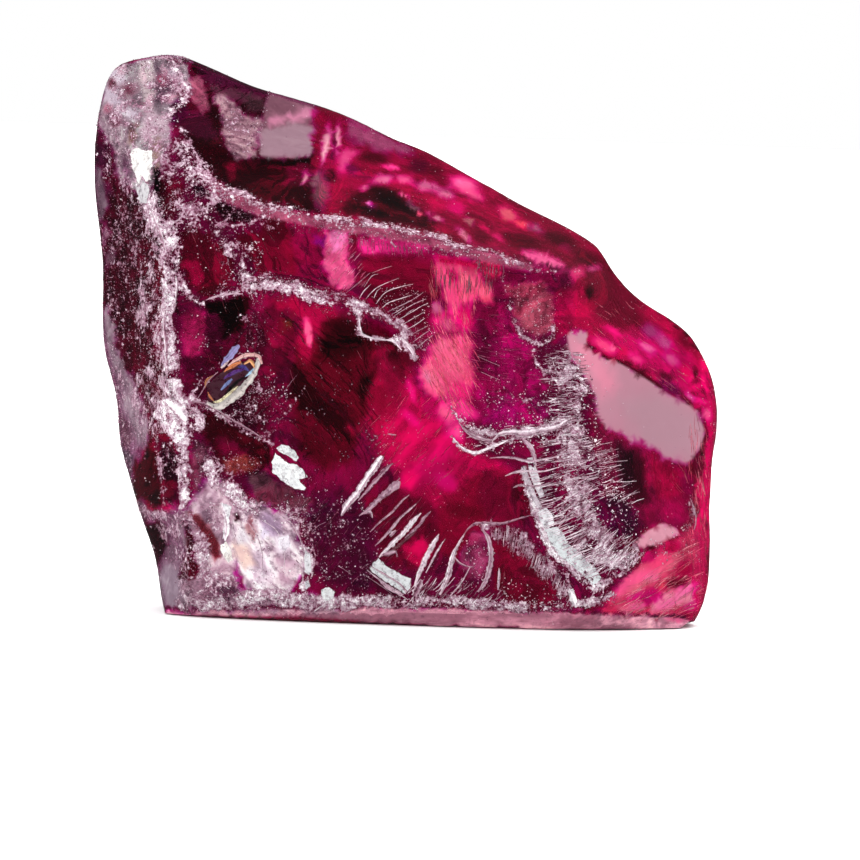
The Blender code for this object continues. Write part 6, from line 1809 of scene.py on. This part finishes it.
def make_specks(surface, material):
    """Bright specks sprinkled on the faces."""
    specks = Splinters(surface, SPECK_SEED)
    for patch in SPRINKLES.values():
        specks.sprinkle(*patch)
    for patch in surface.turned(SIDE_SPRINKLES):
        specks.sprinkle(*patch)
    specks.made("face_specks", material)


def make_crumbs(surface, mesh, frost, material):
    """Broken grains on the frosted ridges, and a sparse dust of specks over the faces."""
    places, normals = vertex_places(mesh), vertex_normals(mesh)
    dice = np.random.default_rng(CRUMB_PLACE_SEED)
    crumbs = Splinters(surface, CRUMB_SEED)
    low = places[:, 2] < CRUMB_FLOOR
    weight = np.where(low, 0.0, frost**CRUMB_POWER)
    for i in dice.choice(len(places), CRUMBS, p=weight / weight.sum()):
        place = places[i] + np.cross(normals[i], dice.normal(0, CRUMB_JITTER, 3))
        shade = dice.beta(*CRUMB_SHADE_BETA) * (CRUMB_SHADES[0] + CRUMB_SHADES[1] * frost[i])
        size = CRUMB_SIZES[0] + CRUMB_SIZES[1] * dice.beta(*CRUMB_SIZE_BETA)
        crumbs.crumb(place, normals[i], float(size), float(np.clip(shade, 0, 1)))
    weight = np.where(low, 0.0, smoothstep(*SPECK_SPAN, wave(places, SPECK_WAVE)) + SPECK_LEAST)
    for i in dice.choice(len(places), SPECKS, p=weight / weight.sum()):
        size, shade = dice.uniform(*SPECK_SIZES), dice.uniform(*SPECK_SHADES)
        crumbs.crumb(places[i], normals[i], float(size), float(shade))
    crumbs.made("ridge_crumbs", material)


# ---------------------------------------------------------------------------------------------------
# Materials
# ---------------------------------------------------------------------------------------------------
class Tree:
    """Short names for making the nodes of a material or the world and joining them."""

    def __init__(self, owner):
        owner.use_nodes = True
        self.owner = owner
        self.nodes = owner.node_tree.nodes
        self.links = owner.node_tree.links

    def put(self, socket, value):
        """Joins a socket to another, or sets it."""
        if isinstance(value, bpy.types.NodeSocket):
            self.links.new(value, socket)
        else:
            socket.default_value = value

    def node(self, kind, **values):
        """A new node with these values on its sockets."""
        node = self.nodes.new(kind)
        for name, value in values.items():
            self.put(node.inputs[name.replace("_", " ")], value)
        return node

    def set(self, **values):
        """Sets the sockets of the material's shader."""
        for name, value in values.items():
            self.put(self.nodes["Principled BSDF"].inputs[name.replace("_", " ")], value)

    def attribute(self, name, output="Fac"):
        node = self.nodes.new("ShaderNodeAttribute")
        node.attribute_name = name
        return node.outputs[output]

    def place(self, kind="Object"):
        return self.nodes.new("ShaderNodeTexCoord").outputs[kind]

    def noise(self, place, scale, detail, roughness, distortion=0.0):
        node = self.node("ShaderNodeTexNoise", Vector=place, Scale=scale, Detail=detail, Roughness=roughness)
        node.inputs["Distortion"].default_value = distortion
        return node.outputs["Fac"]

    def scale(self, value, stops):
        """Colours along a scale: each stop is a place from 0 to 1 and a colour."""
        node = self.nodes.new("ShaderNodeValToRGB")
        self.put(node.inputs[0], value)
        marks = node.color_ramp.elements
        while len(marks) < len(stops):
            marks.new(0.5)
        for mark, (position, colour) in zip(marks, stops):
            mark.position = position
            mark.color = (*colour, 1)
        return node.outputs["Color"]

    def math(self, operation, a, b, clamp=False):
        node = self.nodes.new("ShaderNodeMath")
        node.operation = operation
        node.use_clamp = clamp
        self.put(node.inputs[0], a)
        self.put(node.inputs[1], b)
        return node.outputs[0]

    def weighted(self, values, weights):
        """The sum of the values, each times its weight."""
        parts = [self.math("MULTIPLY", value, weight) for value, weight in zip(values, weights)]
        total = parts[0]
        for part in parts[1:]:
            total = self.math("ADD", total, part)
        return total

    def ramp(self, value, low, high, to_low=0.0, to_high=1.0):
        ends = {"From_Min": low, "From_Max": high, "To_Min": to_low, "To_Max": to_high}
        node = self.node("ShaderNodeMapRange", Value=value, **ends)
        node.interpolation_type = "SMOOTHSTEP"
        return node.outputs[0]

    def mix(self, share, a, b, blend="MIX"):
        node = self.nodes.new("ShaderNodeMix")
        node.data_type = "RGBA"
        node.blend_type = blend
        self.put(node.inputs["Factor"], share)
        self.put(node.inputs["A"], a)
        self.put(node.inputs["B"], b)
        return node.outputs["Result"]

    def bump(self, height, strength, distance):
        return self.node("ShaderNodeBump", Height=height, Strength=strength, Distance=distance).outputs[0]

    def background(self, strength, colour=WHITE):
        return self.node("ShaderNodeBackground", Color=colour, Strength=strength).outputs[0]

    def either(self, share, a, b):
        """The first shader, or the second by a share."""
        node = self.nodes.new("ShaderNodeMixShader")
        for socket, value in zip(node.inputs, (share, a, b)):
            self.put(socket, value)
        return node.outputs[0]


def garnet():
    """Clear red stone with painted colour, light and shade, and white frost where its ridges are worn."""
    tree = Tree(bpy.data.materials.new("garnet"))
    tint, cloud = tree.attribute("tint", "Color"), tree.attribute("tint", "Alpha")
    frost, mottling = tree.attribute("frost"), tree.attribute("mottling")
    flow = tree.attribute("flow", "Vector")
    broad, fine = tree.noise(flow, *BROAD_NOISE), tree.noise(flow, *FINE_NOISE)
    grain, medium = tree.noise(tree.place(), *GRAIN_NOISE), tree.noise(tree.place(), *MEDIUM_NOISE)
    coarse = tree.noise(tree.place(), *COARSE_NOISE)
    uneven = tree.math("SUBTRACT", tree.weighted((grain, medium, coarse), UNEVEN_PARTS), UNEVEN_MIDDLE)
    wanted = tree.math("ADD", tree.math("MULTIPLY", frost, FROST_SHARE), uneven)
    frosted = tree.math("MULTIPLY", tree.ramp(wanted, *FROSTED_SPAN), tree.ramp(frost, *FROST_START))
    # The mottling paints patches of light and shade into the tint, as the glows seen through the stone have
    patchy = tree.weighted((broad, fine), PATCHY_PARTS)
    dark = tree.math("MULTIPLY", tree.ramp(patchy, *DARK_SPAN), mottling)
    light = tree.math("MULTIPLY", tree.ramp(patchy, *LIGHT_SPAN), mottling)
    darker = tree.mix(1.0, tint, DARK_TINT, "MULTIPLY")
    shaded = tree.mix(tree.math("MULTIPLY", dark, DARK_SHARE), tint, darker)
    lighter = tree.mix(1.0, shaded, LIGHT_TINT, "MULTIPLY")
    lit = tree.mix(tree.math("MULTIPLY", light, LIGHT_SHARE), shaded, lighter)
    glints = tree.scale(tree.weighted((grain, medium), SPARKLE_PARTS), SPARKLE_STOPS)
    sparkle = tree.mix(tree.math("MULTIPLY", cloud, mottling, True), WHITE, glints)
    lit = tree.mix(1.0, lit, sparkle, "MULTIPLY")
    thicker = tree.math("MULTIPLY", tree.math("SUBTRACT", frost, WHITE_MIDDLE), WHITE_GAIN)
    whiteness = tree.math("ADD", tree.weighted((grain, medium), WHITE_PARTS), thicker)
    solid = tree.math("MAXIMUM", cloud, tree.math("MULTIPLY", frosted, FROST_SOLID))
    tree.set(
        Base_Color=tree.mix(frosted, lit, tree.scale(whiteness, WHITE_STOPS)),
        Transmission_Weight=tree.math("SUBTRACT", 1.0, solid, True),
        Roughness=tree.ramp(frosted, 0.0, 1.0, *STONE_ROUGHNESS),
        IOR=IOR,
        Normal=tree.bump(tree.math("MULTIPLY", grain, frosted), *FROST_BUMP),
    )
    volume = tree.node("ShaderNodeVolumeAbsorption", Color=ABSORPTION_COLOUR, Density=ABSORPTION_DENSITY)
    tree.put(tree.nodes["Material Output"].inputs["Volume"], volume.outputs[0])
    return tree.owner


def broken_garnet():
    """Freshly broken crumbs, flakes and splinters, each in its own tone."""
    tree = Tree(bpy.data.materials.new("broken_garnet"))
    grain = tree.noise(tree.place(), *BROKEN_NOISE)
    tree.set(
        Base_Color=tree.mix(1.0, tree.attribute("tone", "Color"), tree.scale(grain, BROKEN_STOPS), "MULTIPLY"),
        Roughness=tree.ramp(grain, *BROKEN_SPAN, *BROKEN_ROUGHNESS),
        Transmission_Weight=tree.attribute("tone", "Alpha"),
        IOR=IOR,
        Normal=tree.bump(grain, *BROKEN_BUMP),
    )
    return tree.owner


# ---------------------------------------------------------------------------------------------------
# The studio
# ---------------------------------------------------------------------------------------------------
def unmirrored(piece):
    """Keeps a piece out of what the stone mirrors and of what shows through it."""
    piece.visible_glossy = False
    piece.visible_transmission = False


def make_floor():
    """White paper under the stone."""
    mesh = bpy.data.meshes.new("floor")
    bm = bmesh.new()
    bmesh.ops.create_grid(bm, x_segments=1, y_segments=1, size=FLOOR_HALF)
    bm.to_mesh(mesh)
    bm.free()
    floor = linked("floor", mesh)
    floor.location.z = -FLOOR_DROP
    paper = Tree(bpy.data.materials.new("floor"))
    paper.set(Base_Color=FLOOR_COLOUR, Roughness=FLOOR_ROUGHNESS, Specular_IOR_Level=FLOOR_SPECULAR)
    mesh.materials.append(paper.owner)
    unmirrored(floor)


def make_world():
    """White behind the stone, a gradient that lights it and shines through it, and a dim room for its gloss.

    The gradient grows brighter from the front to the back.
    """
    world = bpy.data.worlds.new("studio")
    bpy.context.scene.world = world
    tree = Tree(world)
    tree.nodes.clear()
    away = tree.node("ShaderNodeSeparateXYZ", Vector=tree.place("Generated")).outputs["Y"]
    path = tree.nodes.new("ShaderNodeLightPath").outputs
    reflected = tree.math("MULTIPLY", path["Is Glossy Ray"], path["Is Reflection Ray"])
    shining = tree.background(tree.ramp(away, *SHINING_SPAN, *SHINING_STRENGTH))
    unseen = tree.either(reflected, shining, tree.background(MIRRORED_STRENGTH, MIRRORED_COLOUR))
    seen = tree.either(path["Is Camera Ray"], unseen, tree.background(1.0))
    tree.node("ShaderNodeOutputWorld", Surface=seen)


def make_lights():
    """A broad light from above and a fill from the front, which the stone doesn't mirror."""
    sun = bpy.data.lights.new("overhead", "SUN")
    sun.energy = OVERHEAD_STRENGTH
    sun.angle = OVERHEAD_SOFTNESS
    overhead = linked("overhead", sun)
    overhead.rotation_euler = OVERHEAD_TILT
    unmirrored(overhead)
    softbox = bpy.data.lights.new("front_fill", "AREA")
    softbox.size = FILL_SIDE
    softbox.energy = FILL_RADIANCE * math.pi * FILL_SIDE**2
    fill = linked("front_fill", softbox)
    fill.location = FILL_PLACE
    fill.rotation_euler = (Vector(FILL_AIM) - Vector(FILL_PLACE)).to_track_quat("-Z", "Y").to_euler()
    unmirrored(fill)
    fill.visible_camera = False


def make_camera():
    """The photograph's camera."""
    lens = bpy.data.cameras.new("camera")
    lens.sensor_width = SENSOR_WIDTH
    lens.lens = SENSOR_WIDTH * CAMERA_DISTANCE * PIXELS_PER_MM / PICTURE_SIDE
    lens.clip_start, lens.clip_end = CAMERA_CLIP
    camera = linked("camera", lens)
    eye, side, up, forward = (Vector(v) for v in camera_axes())
    roll = math.radians(CAMERA_ROLL)
    right = math.cos(roll) * side + math.sin(roll) * up
    above = math.cos(roll) * up - math.sin(roll) * side
    turned = Matrix((right, above, -forward)).transposed().to_4x4()
    camera.matrix_world = Matrix.Translation(in_row(eye)) @ turned
    bpy.context.scene.camera = camera


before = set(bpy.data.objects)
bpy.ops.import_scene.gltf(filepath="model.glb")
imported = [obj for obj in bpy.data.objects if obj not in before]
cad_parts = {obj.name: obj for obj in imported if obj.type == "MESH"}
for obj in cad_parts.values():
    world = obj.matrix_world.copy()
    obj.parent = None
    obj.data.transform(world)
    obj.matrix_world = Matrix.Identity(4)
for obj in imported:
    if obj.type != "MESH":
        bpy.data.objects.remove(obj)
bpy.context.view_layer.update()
stone, ridges = subdivided(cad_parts["garnet_crystal"])
paint = Paint(stone.data, ridges)
paint.put_on(stone.data)
roughen(stone.data, paint.frost)
stone.data.materials.clear()
stone.data.materials.append(garnet())
stone.data.shade_smooth()
stone.data.set_sharp_from_angle(angle=math.radians(SMOOTH_ANGLE))
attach(stone, "root")
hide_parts("garnet_crystal")
skin = Surface(stone.data)
fragments = broken_garnet()
make_hackles(skin, fragments)
make_streaks(skin, fragments)
make_specks(skin, fragments)
make_crumbs(skin, stone.data, paint.frost, fragments)
make_floor()
make_world()
make_lights()
make_camera()
scene = bpy.context.scene
scene.view_settings.view_transform = "Standard"
scene.cycles.max_bounces = 16
scene.cycles.transmission_bounces = 14
scene.cycles.glossy_bounces = 8
